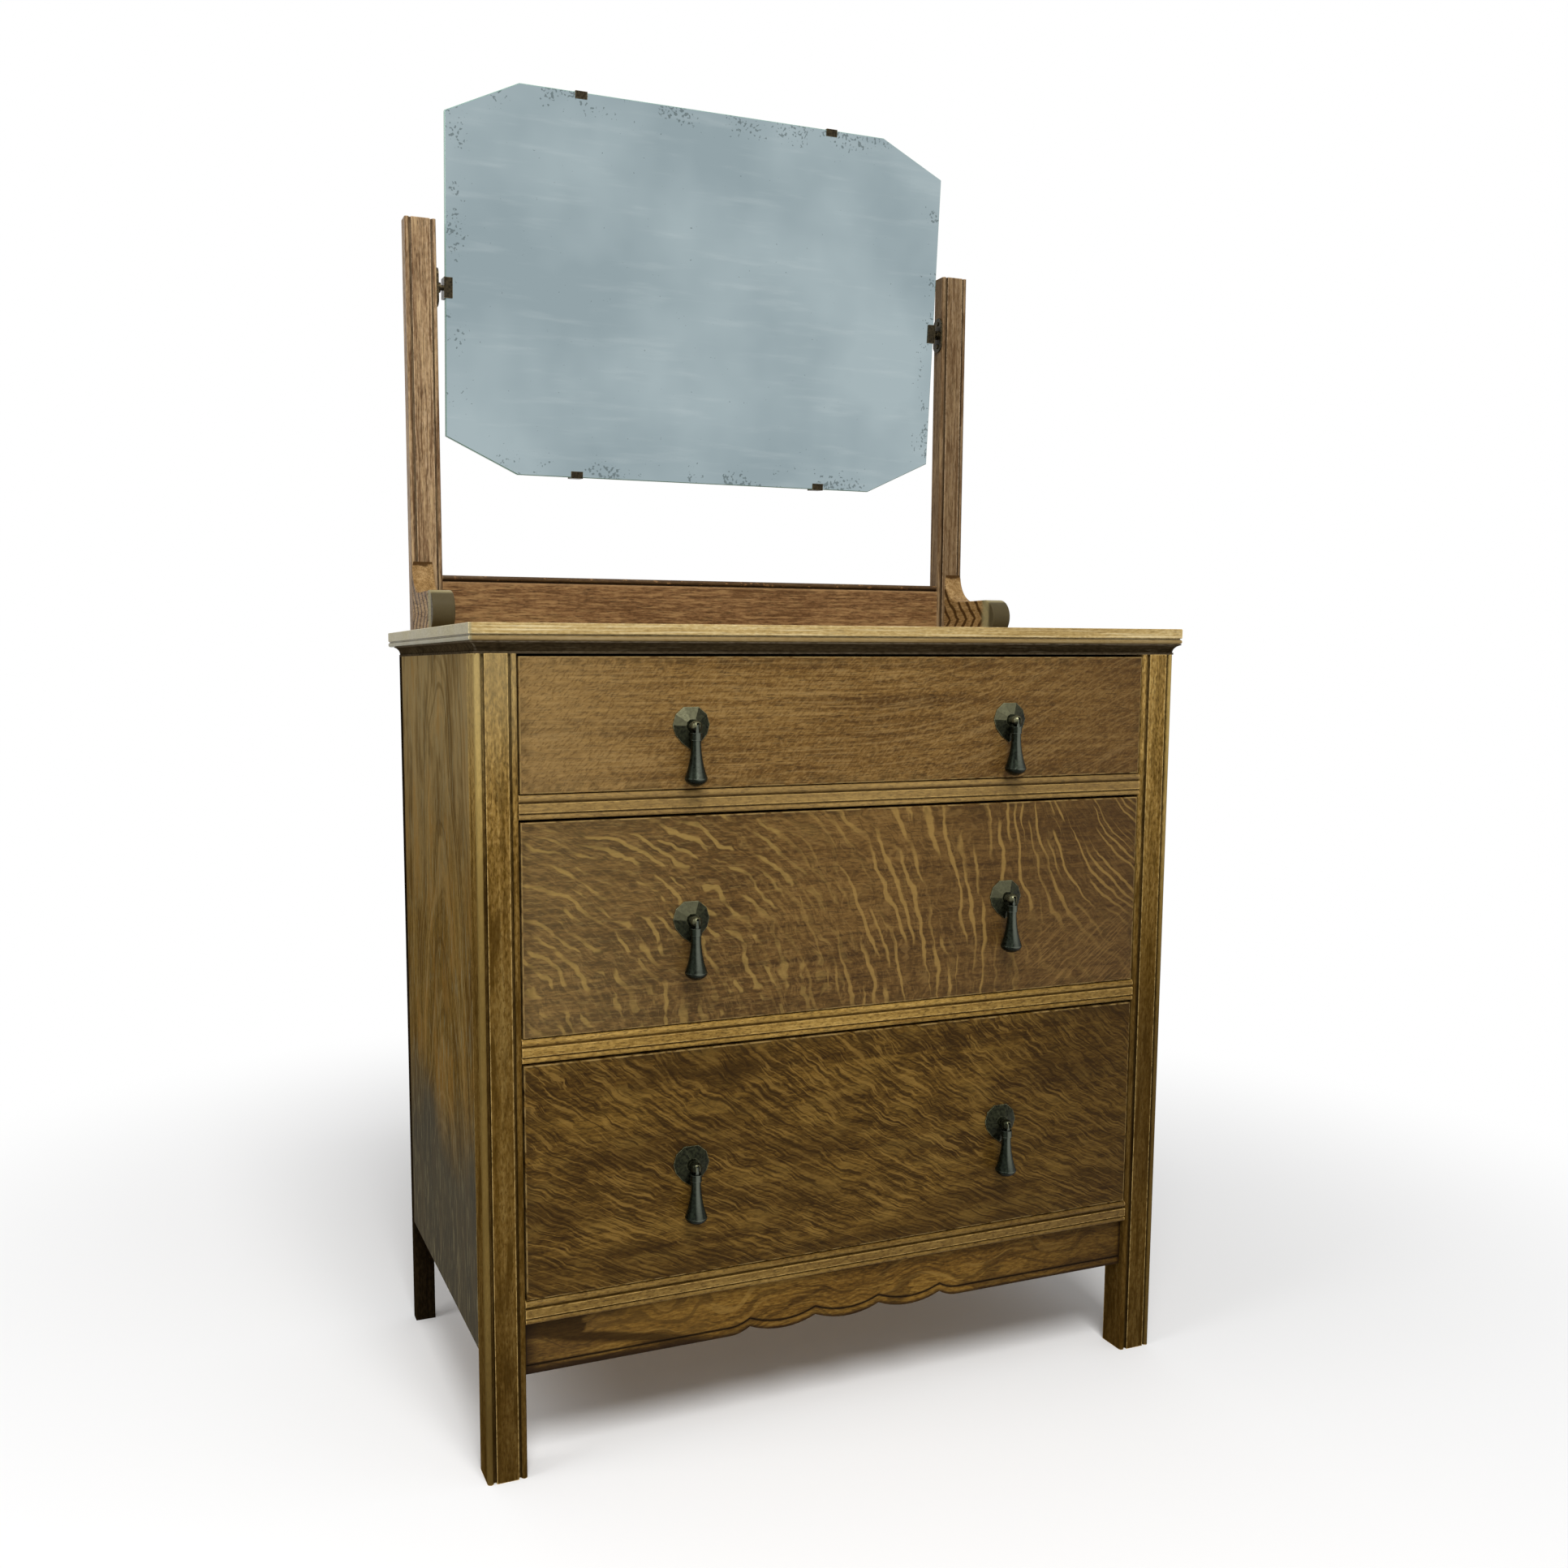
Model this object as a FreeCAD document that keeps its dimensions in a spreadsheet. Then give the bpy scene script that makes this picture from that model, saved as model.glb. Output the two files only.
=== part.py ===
import FreeCAD, Part
import Sketcher
import math
import os
import re

# A dressing chest of oak: three long drawers under a moulded top, and a swing mirror that
# hangs between two standards at the back of the top.
#
# All sizes are in millimetres, with +Z up, +X to the right as the user faces the drawers,
# and the drawers opening towards -Y. The origin is on the floor, in the middle of the
# width and of the whole depth, from the front of the drawer pulls to the foot of the mirror.

SIZES = {
    # Carcass: two posts at the front, two at the back, a plain panel on each side.
    "carcass_width": 750,
    "carcass_depth": 366,
    "post_width": 38,
    "front_post_depth": 30,
    "rear_post_width": 22,
    "rear_post_depth": 14,
    "post_bead": 6,
    "post_quirk": 2.5,
    "panel_thickness": 12,
    "panel_bottom": 118.8,
    "back_thickness": 5,
    "back_recess": 3,
    "back_rail_depth": 20,
    # Rails across the front, and the three openings between them from the bottom up.
    "rail_clearance": 148.4,
    "bottom_rail_height": 22,
    "lower_opening": 224.6,
    "rail_height": 22,
    "middle_opening": 199.6,
    "upper_opening": 125,
    "rail_depth": 32,
    "rail_top_bead": 6.4,
    "rail_low_bead": 4.8,
    "rail_quirk": 1.4,
    # Apron under the bottom rail, with cusps cut up into its lower edge.
    "apron_bottom": 97.5,
    "apron_thickness": 18,
    "apron_recess": 7,
    "cusp_pitch": 72,
    "cusp_rise": 6.5,
    "lobe_drop": 7.5,
    "shoulder_run": 22,
    "apron_line_rise": 8,
    "apron_line_width": 1.2,
    "apron_line_depth": 0.8,
    # Hollow-moulded frame that carries the top.
    "frame_height": 10.8,
    "frame_width": 48,
    "frame_reach": 5.5,
    "frame_hollow": 0.8,
    "frame_hollow_radius": 8,
    "frame_lip": 1,
    "frame_foot": 2,
    # Top board: a square band, a fine groove and a round bead below it.
    "top_overhang": 6,
    "top_overhang_rear": 34,
    "top_band": 10,
    "top_groove": 0.9,
    "top_groove_depth": 1.5,
    "top_bead": 4.9,
    "top_bead_radius": 2.2,
    "top_arris": 1,
    # Drawers.
    "drawer_recess": 1,
    "drawer_front_thickness": 18,
    "drawer_arris": 0.8,
    "drawer_gap_side": 1.5,
    "drawer_gap_top": 2.5,
    "drawer_gap_bottom": 1,
    "drawer_gap_back": 5,
    "drawer_side_thickness": 10,
    "drawer_side_drop": 12,
    "drawer_back_thickness": 10,
    "drawer_back_drop": 8,
    "drawer_bottom_thickness": 5,
    "drawer_bottom_rise": 8,
    "runner_clearance": 0.3,
    "runner_height": 20,
    "runner_ledge": 18,
    "guide_height": 14,
    "guide_clearance": 0.5,
    # Handles: a faceted plate, a split knuckle on a bolt, and a drop pull that swings on it.
    "handle_spacing": 346,
    "upper_handle_share": 0.471,
    "middle_handle_share": 0.499,
    "lower_handle_share": 0.4915,
    "plate_width": 36.5,
    "plate_above": 17.5,
    "plate_below": 22,
    "plate_rim": 1.2,
    "plate_rise": 4,
    "plate_crown_share": 0.36,
    "pin_standoff": 13,
    "knuckle_radius": 5.5,
    "stem_radius": 4,
    "hinge_pin_radius": 1,
    "hinge_pin_clearance": 0.08,
    "tongue_radius": 3.2,
    "tongue_thickness": 2.6,
    "slot_clearance": 0.3,
    "bolt_radius": 2,
    "bolt_clearance": 0.2,
    "bolt_end": 2,
    "nut_radius": 4.4,
    "nut_height": 3.2,
    "collar_drop": 6,
    "collar_height": 6.5,
    "collar_radius": 5.4,
    "neck_radius": 4.6,
    "neck_flare_radius": 95,
    "pull_radius": 10.7,
    "pull_belly": 47.5,
    "pull_belly_height": 4.5,
    "pull_belly_radius": 5.8,
    "pull_tip_radius": 8,
    "pull_tip_curve": 15,
    "pull_length": 55,
    # Mirror standards, their bracket feet and the rail between them.
    "standard_inset": 19,
    "standard_width": 34.5,
    "standard_thickness": 19,
    "standard_height": 449.8,
    "standard_bead": 5,
    "standard_quirk": 1.8,
    "bracket_thickness": 24,
    "bracket_arris": 1.5,
    "bracket_length": 112,
    "bracket_toe_height": 43,
    "bracket_sweep": 36,
    "mirror_rail_height": 65,
    "mirror_rail_thickness": 16,
    "mirror_rail_setback": 1.5,
    "mirror_rail_bead": 6,
    "mirror_rail_quirk": 1.4,
    # Mirror: glass with cut corners on a smaller board, tilted a little forward.
    "mirror_tilt": 4,
    "glass_side_gap": 10,
    "glass_height": 420,
    "glass_thickness": 5,
    "glass_corner_width": 83.5,
    "glass_corner_height": 38.5,
    "glass_bevel": 0.8,
    "glass_behind_axis": 1,
    "board_thickness": 8,
    "board_inset": 14,
    "pivot_height": 379.8,
    "pivot_below_centre": 12,
    "clip_spacing": 314,
    "clip_width": 14,
    "clip_thickness": 1,
    "clip_lip": 7,
    "clip_tail": 26,
    "claw_height": 22,
    "claw_thickness": 1.6,
    "claw_lip": 8,
    "claw_tail": 52,
    "pivot_pin_radius": 3,
    "pivot_pin_clearance": 0.06,
    "pivot_pin_end_gap": 0.4,
    "pivot_plate_width": 18,
    "pivot_plate_height": 42,
    "pivot_plate_thickness": 2,
    "pivot_boss_radius": 5.5,
    "pivot_boss_height": 3,
    "screw_spacing": 28,
    "screw_head_radius": 2.7,
    "screw_head_height": 1.2,
    "screw_radius": 1.4,
    "screw_depth": 12,
    "screw_clearance": 0.1,
    # How far a cutting shape runs past the face that it cuts.
    "overrun": 5,
}

# Sizes that follow from the ones above, worked out in the sheet itself.
DERIVED = {
    "opening_width": "carcass_width - 2 * post_width",
    "side_inside": "carcass_width / 2 - panel_thickness",
    "lower_floor": "rail_clearance + bottom_rail_height",
    "middle_floor": "lower_floor + lower_opening + rail_height",
    "upper_floor": "middle_floor + middle_opening + rail_height",
    "carcass_height": "upper_floor + upper_opening",
    "top_underside": "carcass_height + frame_height",
    "top_thickness": "top_band + top_groove + top_bead",
    "top_surface": "top_underside + top_thickness",
    "top_width": "carcass_width + 2 * top_overhang",
    "top_depth": "carcass_depth + top_overhang + top_overhang_rear",
    "apron_height": "rail_clearance - apron_bottom",
    "lobe_radius": "(cusp_pitch ^ 2 / 4 + lobe_drop ^ 2) / (2 * lobe_drop)",
    "shoulder_radius": "(shoulder_run ^ 2 + cusp_rise ^ 2) / (2 * cusp_rise)",
    "back_front": "carcass_depth - back_recess - back_thickness",
    "drawer_width": "opening_width - 2 * drawer_gap_side",
    "drawer_length": "back_front - drawer_gap_back - drawer_recess",
    "drawer_side_length": "drawer_length - drawer_front_thickness",
    "drawer_inner_width": "drawer_width - 2 * drawer_side_thickness",
    "plate_depth": "plate_rim + plate_rise",
    "knuckle_slot": "tongue_thickness + 2 * slot_clearance",
    "standard_gap": "carcass_width - 2 * standard_inset - 2 * standard_width",
    "standard_front": "carcass_depth + top_overhang_rear - standard_thickness",
    "pivot_back": "standard_front + standard_thickness / 2",
    "pivot_level": "top_surface + pivot_height",
    "glass_width": "standard_gap - 2 * glass_side_gap",
    "glass_front": "glass_thickness - glass_behind_axis",
    "board_back": "glass_behind_axis + board_thickness",
    "mirror_back": "board_back + clip_thickness",
    "mirror_drop": "glass_height / 2 - pivot_below_centre + clip_thickness",
    "front_reach": "pin_standoff - drawer_recess + pull_radius",
    "rear_reach": "pivot_back + mirror_back * cos(mirror_tilt) + mirror_drop * sin(mirror_tilt)",
    "front_face": "(front_reach - rear_reach) / 2",
}

# Name, floor of the opening, height of the opening and height of its handles as a share.
DRAWERS = [
    ("upper", "upper_floor", "upper_opening", "upper_handle_share"),
    ("middle", "middle_floor", "middle_opening", "middle_handle_share"),
    ("lower", "lower_floor", "lower_opening", "lower_handle_share"),
]

# Half of the handle plate's outline from the top down: shares of the half width, and of
# the height above the knuckle (positive) or below it (negative).
PLATE_SHARES = [(0.40, 1.0), (0.84, 0.62), (1.0, 0.06), (0.86, -0.34), (0.50, -0.70)]

SIDES = [("left", -1), ("right", 1)]
LEFT_OF_WAY = 1
RIGHT_OF_WAY = -1
ALONG_X = FreeCAD.Rotation(FreeCAD.Vector(0, 1, 0), 90)
ALONG_Y = FreeCAD.Rotation(FreeCAD.Vector(1, 0, 0), -90)

doc = FreeCAD.newDocument("DressingChest")
sheet = doc.addObject("Spreadsheet::Sheet", "Sizes")
nodes = []


def fill_sheet():
    """Write each named size in a cell of its own."""
    row = 1
    for name, size in SIZES.items():
        sheet.set(f"A{row}", name)
        sheet.set(f"B{row}", str(size))
        sheet.setAlias(f"B{row}", name)
        row += 1
    for name, formula in DERIVED.items():
        sheet.set(f"A{row}", name)
        sheet.set(f"B{row}", f"={formula}")
        sheet.setAlias(f"B{row}", name)
        row += 1
    doc.recompute()


def pointed(expression):
    """The expression with each named size pointed at its cell."""
    def cell(word):
        known = word[0] in SIZES or word[0] in DERIVED
        return f"Sizes.{word[0]}" if known else word[0]
    return re.sub(r"[a-z][a-z_]*", cell, str(expression))


def value(expression):
    """What an expression comes to at the present sizes."""
    return float(sheet.evalExpression(pointed(expression)))


def tie(item, prop, expression):
    """Bind a property to an expression in named sizes."""
    item.setExpression(prop, pointed(expression))


def place(item, x="0", y="0", z="0"):
    """Bind the item's position."""
    tie(item, "Placement.Base.x", x)
    tie(item, "Placement.Base.y", y)
    tie(item, "Placement.Base.z", z)
    return item


def hang(item):
    """Put a piece of the mirror on the pivot axis, tilted as the mirror stands."""
    item.Placement = FreeCAD.Placement(
        FreeCAD.Vector(), FreeCAD.Rotation(FreeCAD.Vector(1, 0, 0), value("mirror_tilt"))
    )
    tie(item, "Placement.Rotation.Angle", "mirror_tilt")
    return place(item, y="front_face + pivot_back", z="pivot_level")


def node(label, item):
    """Keep an item as a sub-part of its own under its label."""
    item.Label = label
    nodes.append(item)
    return item


def body(name):
    return doc.addObject("PartDesign::Body", name)


def attach(owner, plane, offset):
    """A new sketch on one of the origin planes of the body that owns it."""
    sketch = owner.newObject("Sketcher::SketchObject", f"{owner.Name}_sketch")
    for face in owner.Origin.OriginFeatures:
        if face.Role == f"{plane}_Plane":
            sketch.AttachmentSupport = (face, [""])
    sketch.MapMode = "FlatFace"
    tie(sketch, "AttachmentOffset.Base.z", offset)
    return sketch


def fix(sketch, index, point, label, across, up):
    """Hold one point of a sketch at named distances from the sketch's origin."""
    for kind, axis, expression in (("DistanceX", "x", across), ("DistanceY", "y", up)):
        rule = Sketcher.Constraint(kind, -1, 1, index, point, value(expression))
        sketch.renameConstraint(sketch.addConstraint(rule), f"{axis}{label}")
        tie(sketch, f"Constraints.{axis}{label}", expression)


def arc_between(start, end, radius, side):
    """The shorter arc from start to end, its centre on the given side of the way."""
    chord = end - start
    rise = math.sqrt(max(radius ** 2 - chord.Length ** 2 / 4, 0))
    square = FreeCAD.Vector(-chord.y, chord.x, 0).normalize() * (side * rise)
    centre = start + chord * 0.5 + square
    first, last = (start, end) if side == LEFT_OF_WAY else (end, start)
    angles = [math.atan2(p.y - centre.y, p.x - centre.x) for p in (first, last)]
    circle = Part.Circle(centre, FreeCAD.Vector(0, 0, 1), radius)
    return Part.ArcOfCircle(circle, angles[0], angles[1])


def outline(owner, plane, corners, offset="0"):
    """A closed sketch through corners given in named sizes.

    A corner is (across, up). With a radius and a side behind them, an arc leads on from
    that corner, its centre on that side of the way. Otherwise a straight line does.
    """
    sketch = attach(owner, plane, offset)
    points = [FreeCAD.Vector(value(c[0]), value(c[1]), 0) for c in corners]
    ends = []
    for index, corner in enumerate(corners):
        start = points[index]
        end = points[(index + 1) % len(points)]
        if len(corner) == 2:
            sketch.addGeometry(Part.LineSegment(start, end))
            ends.append((1, 2))
        else:
            radius, side = corner[2], corner[3]
            sketch.addGeometry(arc_between(start, end, value(radius), side))
            ends.append((1, 2) if side == LEFT_OF_WAY else (2, 1))
    for index in range(len(corners)):
        after = (index + 1) % len(corners)
        rule = Sketcher.Constraint("Coincident", index, ends[index][1], after, ends[after][0])
        sketch.addConstraint(rule)
    for index, corner in enumerate(corners):
        fix(sketch, index, ends[index][0], index, corner[0], corner[1])
        if len(corner) > 2:
            rule = Sketcher.Constraint("Radius", index, value(corner[2]))
            sketch.renameConstraint(sketch.addConstraint(rule), f"radius{index}")
            tie(sketch, f"Constraints.radius{index}", corner[2])
    return sketch


def circles(owner, plane, centres, radius, offset="0"):
    """A sketch of equal circles about centres given in named sizes."""
    sketch = attach(owner, plane, offset)
    for index, (across, up) in enumerate(centres):
        centre = FreeCAD.Vector(value(across), value(up), 0)
        sketch.addGeometry(Part.Circle(centre, FreeCAD.Vector(0, 0, 1), value(radius)))
        fix(sketch, index, 3, index, across, up)
        rule = Sketcher.Constraint("Radius", index, value(radius))
        sketch.renameConstraint(sketch.addConstraint(rule), f"radius{index}")
        tie(sketch, f"Constraints.radius{index}", radius)
    return sketch


def rectangle(left, low, right, high):
    return [(left, low), (right, low), (right, high), (left, high)]


def pad(owner, sketch, length, backwards=False):
    """Build up from a sketch, along its plane's normal or against it."""
    feature = owner.newObject("PartDesign::Pad", f"{owner.Name}_pad")
    feature.Profile = sketch
    feature.Reversed = backwards
    tie(feature, "Length", length)
    return feature


def pocket(owner, sketch, length, backwards=False):
    """Cut into the body from a sketch, against its plane's normal or along it."""
    doc.recompute()
    before = owner.Shape.Volume
    feature = owner.newObject("PartDesign::Pocket", f"{owner.Name}_pocket")
    feature.Profile = sketch
    feature.Reversed = backwards
    tie(feature, "Length", length)
    doc.recompute()
    if not owner.Shape.Volume < before:
        raise RuntimeError(f"{feature.Name} cuts nothing")
    return feature


def round_edges(owner, base, radius, wanted, kind="Fillet", prop="Radius"):
    """Round or chamfer the edges of a feature that pass the test."""
    doc.recompute()
    names = [f"Edge{i + 1}" for i, edge in enumerate(base.Shape.Edges) if wanted(edge)]
    feature = owner.newObject(f"PartDesign::{kind}", f"{owner.Name}_{kind.lower()}")
    feature.Base = (base, names)
    tie(feature, prop, radius)
    return feature


def board(name, length, width, height):
    """A plain squared board, its sizes along X, Y and Z."""
    box = doc.addObject("Part::Box", name)
    tie(box, "Length", length)
    tie(box, "Width", width)
    tie(box, "Height", height)
    return box


def rod(name, radius, length, rotation):
    """A round rod from its own origin along the rotated Z axis."""
    cylinder = doc.addObject("Part::Cylinder", name)
    cylinder.Placement = FreeCAD.Placement(FreeCAD.Vector(), rotation)
    tie(cylinder, "Radius", radius)
    tie(cylinder, "Height", length)
    return cylinder


def group(name, members):
    """Loose like pieces that make one sub-part."""
    compound = doc.addObject("Part::Compound", name)
    compound.Links = members
    return compound


def mirrored(name, source):
    """The same piece handed the other way, across the plane X = 0."""
    copy = doc.addObject("Part::Mirroring", name)
    copy.Source = source
    copy.Normal = FreeCAD.Vector(1, 0, 0)
    return copy


def beaded_section(width, depth, bead, quirk):
    """Plan section of an upright whose front face has a round bead at each edge."""
    half = f"{bead} / 2"
    return [
        ("0", depth),
        ("0", half, half, LEFT_OF_WAY),
        (half, "0", half, LEFT_OF_WAY),
        (bead, half),
        (f"{bead} + {quirk}", half),
        (f"{bead} + {quirk}", "0"),
        (f"{width} - {bead} - {quirk}", "0"),
        (f"{width} - {bead} - {quirk}", half),
        (f"{width} - {bead}", half, half, LEFT_OF_WAY),
        (f"{width} - {half}", "0", half, LEFT_OF_WAY),
        (width, half),
        (width, depth),
    ]


def reeded_section(height, depth, top_bead, low_bead, quirk):
    """Side section of a rail whose front face has a round bead along each edge."""
    top = f"{top_bead} / 2"
    low = f"{low_bead} / 2"
    corners = [
        (depth, "0"),
        (depth, height),
        (top, height, top, LEFT_OF_WAY),
        ("0", f"{height} - {top}", top, LEFT_OF_WAY),
        (top, f"{height} - {top_bead}"),
        (top, f"{height} - {top_bead} - {quirk}"),
        ("0", f"{height} - {top_bead} - {quirk}"),
    ]
    if low_bead == "0":
        return corners + [("0", "0")]
    return corners + [
        ("0", f"{low_bead} + {quirk}"),
        (low, f"{low_bead} + {quirk}"),
        (low, low_bead, low, LEFT_OF_WAY),
        ("0", low, low, LEFT_OF_WAY),
        (low, "0"),
    ]


def posts():
    """Front posts with beaded edges, and plain rear posts."""
    for side, sign in SIDES:
        front = node(f"front_post_{side}", body(f"front_post_{side}"))
        section = beaded_section("post_width", "front_post_depth", "post_bead", "post_quirk")
        pad(front, outline(front, "XY", section), "carcass_height")
        left = "-carcass_width / 2" if sign < 0 else "carcass_width / 2 - post_width"
        place(front, left, "front_face")
        rear = node(
            f"rear_post_{side}",
            board(f"rear_post_{side}", "rear_post_width", "rear_post_depth", "carcass_height"),
        )
        left = "-carcass_width / 2" if sign < 0 else "carcass_width / 2 - rear_post_width"
        place(rear, left, "front_face + carcass_depth - rear_post_depth")


def panels():
    """Side panels between the posts, flush with their outer faces, and the back panel."""
    for side, sign in SIDES:
        panel = node(
            f"side_panel_{side}",
            board(
                f"side_panel_{side}",
                "panel_thickness",
                "carcass_depth - front_post_depth - rear_post_depth",
                "carcass_height - panel_bottom",
            ),
        )
        left = "-carcass_width / 2" if sign < 0 else "side_inside"
        place(panel, left, "front_face + front_post_depth", "panel_bottom")
    back = node(
        "back_panel",
        board(
            "back_panel",
            "carcass_width - 2 * rear_post_width",
            "back_thickness",
            "carcass_height - panel_bottom",
        ),
    )
    place(back, "rear_post_width - carcass_width / 2", "front_face + back_front", "panel_bottom")


def rails():
    """Reeded rails under each drawer, and the plain rail low at the back."""
    levels = [
        ("drawer_rail_upper", "rail_height", "upper_floor - rail_height"),
        ("drawer_rail_lower", "rail_height", "middle_floor - rail_height"),
        ("bottom_rail", "bottom_rail_height", "rail_clearance"),
    ]
    for name, height, level in levels:
        rail = node(name, body(name))
        section = reeded_section(height, "rail_depth", "rail_top_bead", "rail_low_bead", "rail_quirk")
        pad(rail, outline(rail, "YZ", section), "opening_width")
        place(rail, "-opening_width / 2", "front_face", level)
    rear = node(
        "back_rail_lower",
        board(
            "back_rail_lower",
            "carcass_width - 2 * rear_post_width",
            "back_rail_depth",
            "bottom_rail_height",
        ),
    )
    place(
        rear,
        "rear_post_width - carcass_width / 2",
        "front_face + back_front - back_rail_depth",
        "rail_clearance",
    )


def scallops(rise):
    """The apron's lower edge from left to right, lifted by the rise given."""
    middle = "opening_width / 2"
    crest = f"{rise} + cusp_rise"
    return [
        ("0", rise),
        (f"{middle} - 3 / 2 * cusp_pitch - shoulder_run", rise, "shoulder_radius", LEFT_OF_WAY),
        (f"{middle} - 3 / 2 * cusp_pitch", crest, "lobe_radius", LEFT_OF_WAY),
        (f"{middle} - cusp_pitch / 2", crest, "lobe_radius", LEFT_OF_WAY),
        (f"{middle} + cusp_pitch / 2", crest, "lobe_radius", LEFT_OF_WAY),
        (f"{middle} + 3 / 2 * cusp_pitch", crest, "shoulder_radius", LEFT_OF_WAY),
        (f"{middle} + 3 / 2 * cusp_pitch + shoulder_run", rise),
        ("opening_width", rise),
    ]


def returned(corners):
    """The same corners from last to first, each arc kept between the same two."""
    way_back = []
    for index in range(len(corners) - 1, -1, -1):
        before = corners[index - 1] if index > 0 else ()
        arc = (before[2], RIGHT_OF_WAY) if len(before) > 2 else ()
        way_back.append(corners[index][:2] + arc)
    return way_back


def apron():
    """Recessed apron: three lobes between four cusps, and a line cut above them."""
    skirt = node("apron", body("apron"))
    edge = scallops("0") + [("opening_width", "apron_height"), ("0", "apron_height")]
    pad(skirt, outline(skirt, "XZ", edge), "apron_thickness", backwards=True)
    line = scallops("apron_line_rise") + returned(scallops("apron_line_rise + apron_line_width"))
    pocket(skirt, outline(skirt, "XZ", line), "apron_line_depth")
    place(skirt, "-opening_width / 2", "front_face + apron_recess", "apron_bottom")


def frame_length(name, length, mitres):
    """One length of the hollow-moulded frame, mitred at the ends that are named."""
    piece = body(name)
    hollow = "frame_reach + frame_hollow"
    section = [
        ("frame_reach + frame_width", "0"),
        ("frame_reach + frame_width", "frame_height"),
        ("0", "frame_height"),
        ("0", "frame_height - frame_lip", "frame_hollow_radius", RIGHT_OF_WAY),
        (hollow, "frame_foot"),
        ("frame_reach", "frame_foot"),
        ("frame_reach", "0"),
    ]
    pad(piece, outline(piece, "YZ", section), length)
    far = "frame_reach + frame_width + overrun"
    for end in mitres:
        if end == "start":
            corner = [("-overrun", "-overrun"), (far, far), ("-overrun", far)]
        else:
            past = f"{length} + overrun"
            corner = [(past, "-overrun"), (past, far), (f"{length} - ({far})", far)]
        pocket(piece, outline(piece, "XY", corner), "frame_height", backwards=True)
    return piece


def top_frame():
    """Moulded frame on the posts: front and sides mitred, with a plain rail at the back."""
    front = node(
        "top_frame_front",
        frame_length("top_frame_front", "carcass_width + 2 * frame_reach", ["start", "end"]),
    )
    place(front, "-carcass_width / 2 - frame_reach", "front_face - frame_reach", "carcass_height")
    length = "carcass_depth + frame_reach"
    left = node("top_frame_left", frame_length("top_frame_left", length, ["end"]))
    left.Placement.Rotation = FreeCAD.Rotation(FreeCAD.Vector(0, 0, 1), -90)
    place(left, "-carcass_width / 2 - frame_reach", "front_face + carcass_depth", "carcass_height")
    right = node("top_frame_right", frame_length("top_frame_right", length, ["start"]))
    right.Placement.Rotation = FreeCAD.Rotation(FreeCAD.Vector(0, 0, 1), 90)
    place(right, "carcass_width / 2 + frame_reach", "front_face - frame_reach", "carcass_height")
    rear = node(
        "back_rail_upper",
        board(
            "back_rail_upper", "carcass_width - 2 * frame_width", "frame_width", "frame_height"
        ),
    )
    place(
        rear,
        "frame_width - carcass_width / 2",
        "front_face + carcass_depth - frame_width",
        "carcass_height",
    )


def top_board():
    """Top board, moulded round the front and both sides."""
    top = node("top_board", body("top_board"))
    full = rectangle("0", "0", "top_width", "top_depth")
    inset = rectangle("top_groove_depth", "top_groove_depth", "top_width - top_groove_depth", "top_depth")
    bead = pad(top, outline(top, "XY", full), "top_bead")
    width = value("top_width")
    depth = value("top_depth")
    tiny = value("top_groove") / 10

    def moulded(edge, heights):
        middle = edge.BoundBox.Center
        flat = edge.BoundBox.ZLength < tiny and any(abs(middle.z - h) < tiny for h in heights)
        outer = middle.x < tiny or middle.x > width - tiny or middle.y < tiny
        return flat and outer and middle.y < depth - tiny

    round_edges(top, bead, "top_bead_radius", lambda edge: moulded(edge, [0, value("top_bead")]))
    pad(top, outline(top, "XY", inset, "top_bead"), "top_groove")
    band = pad(top, outline(top, "XY", full, "top_bead + top_groove"), "top_band")
    heights = [value("top_thickness"), value("top_bead + top_groove")]
    round_edges(top, band, "top_arris", lambda edge: moulded(edge, heights))
    place(top, "-top_width / 2", "front_face - top_overhang", "top_underside")


def runners():
    """On each side a runner under every drawer, with a guide on top of it."""
    for side, sign in SIDES:
        members = []
        for name, floor, _, _ in DRAWERS:
            ledge = board(
                f"{name}_runner_{side}",
                "side_inside - opening_width / 2 + runner_ledge",
                "back_front - back_rail_depth - rail_depth",
                "runner_height",
            )
            left = "-side_inside" if sign < 0 else "opening_width / 2 - runner_ledge"
            place(ledge, left, "front_face + rail_depth", f"{floor} - runner_height")
            guide = board(
                f"{name}_guide_{side}",
                "side_inside - drawer_width / 2 - guide_clearance",
                "back_front - back_rail_depth - rail_depth",
                "guide_height",
            )
            left = "-side_inside" if sign < 0 else "drawer_width / 2 + guide_clearance"
            place(guide, left, "front_face + rail_depth", floor)
            members += [ledge, guide]
        node(f"drawer_runners_{side}", group(f"drawer_runners_{side}", members))


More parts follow.
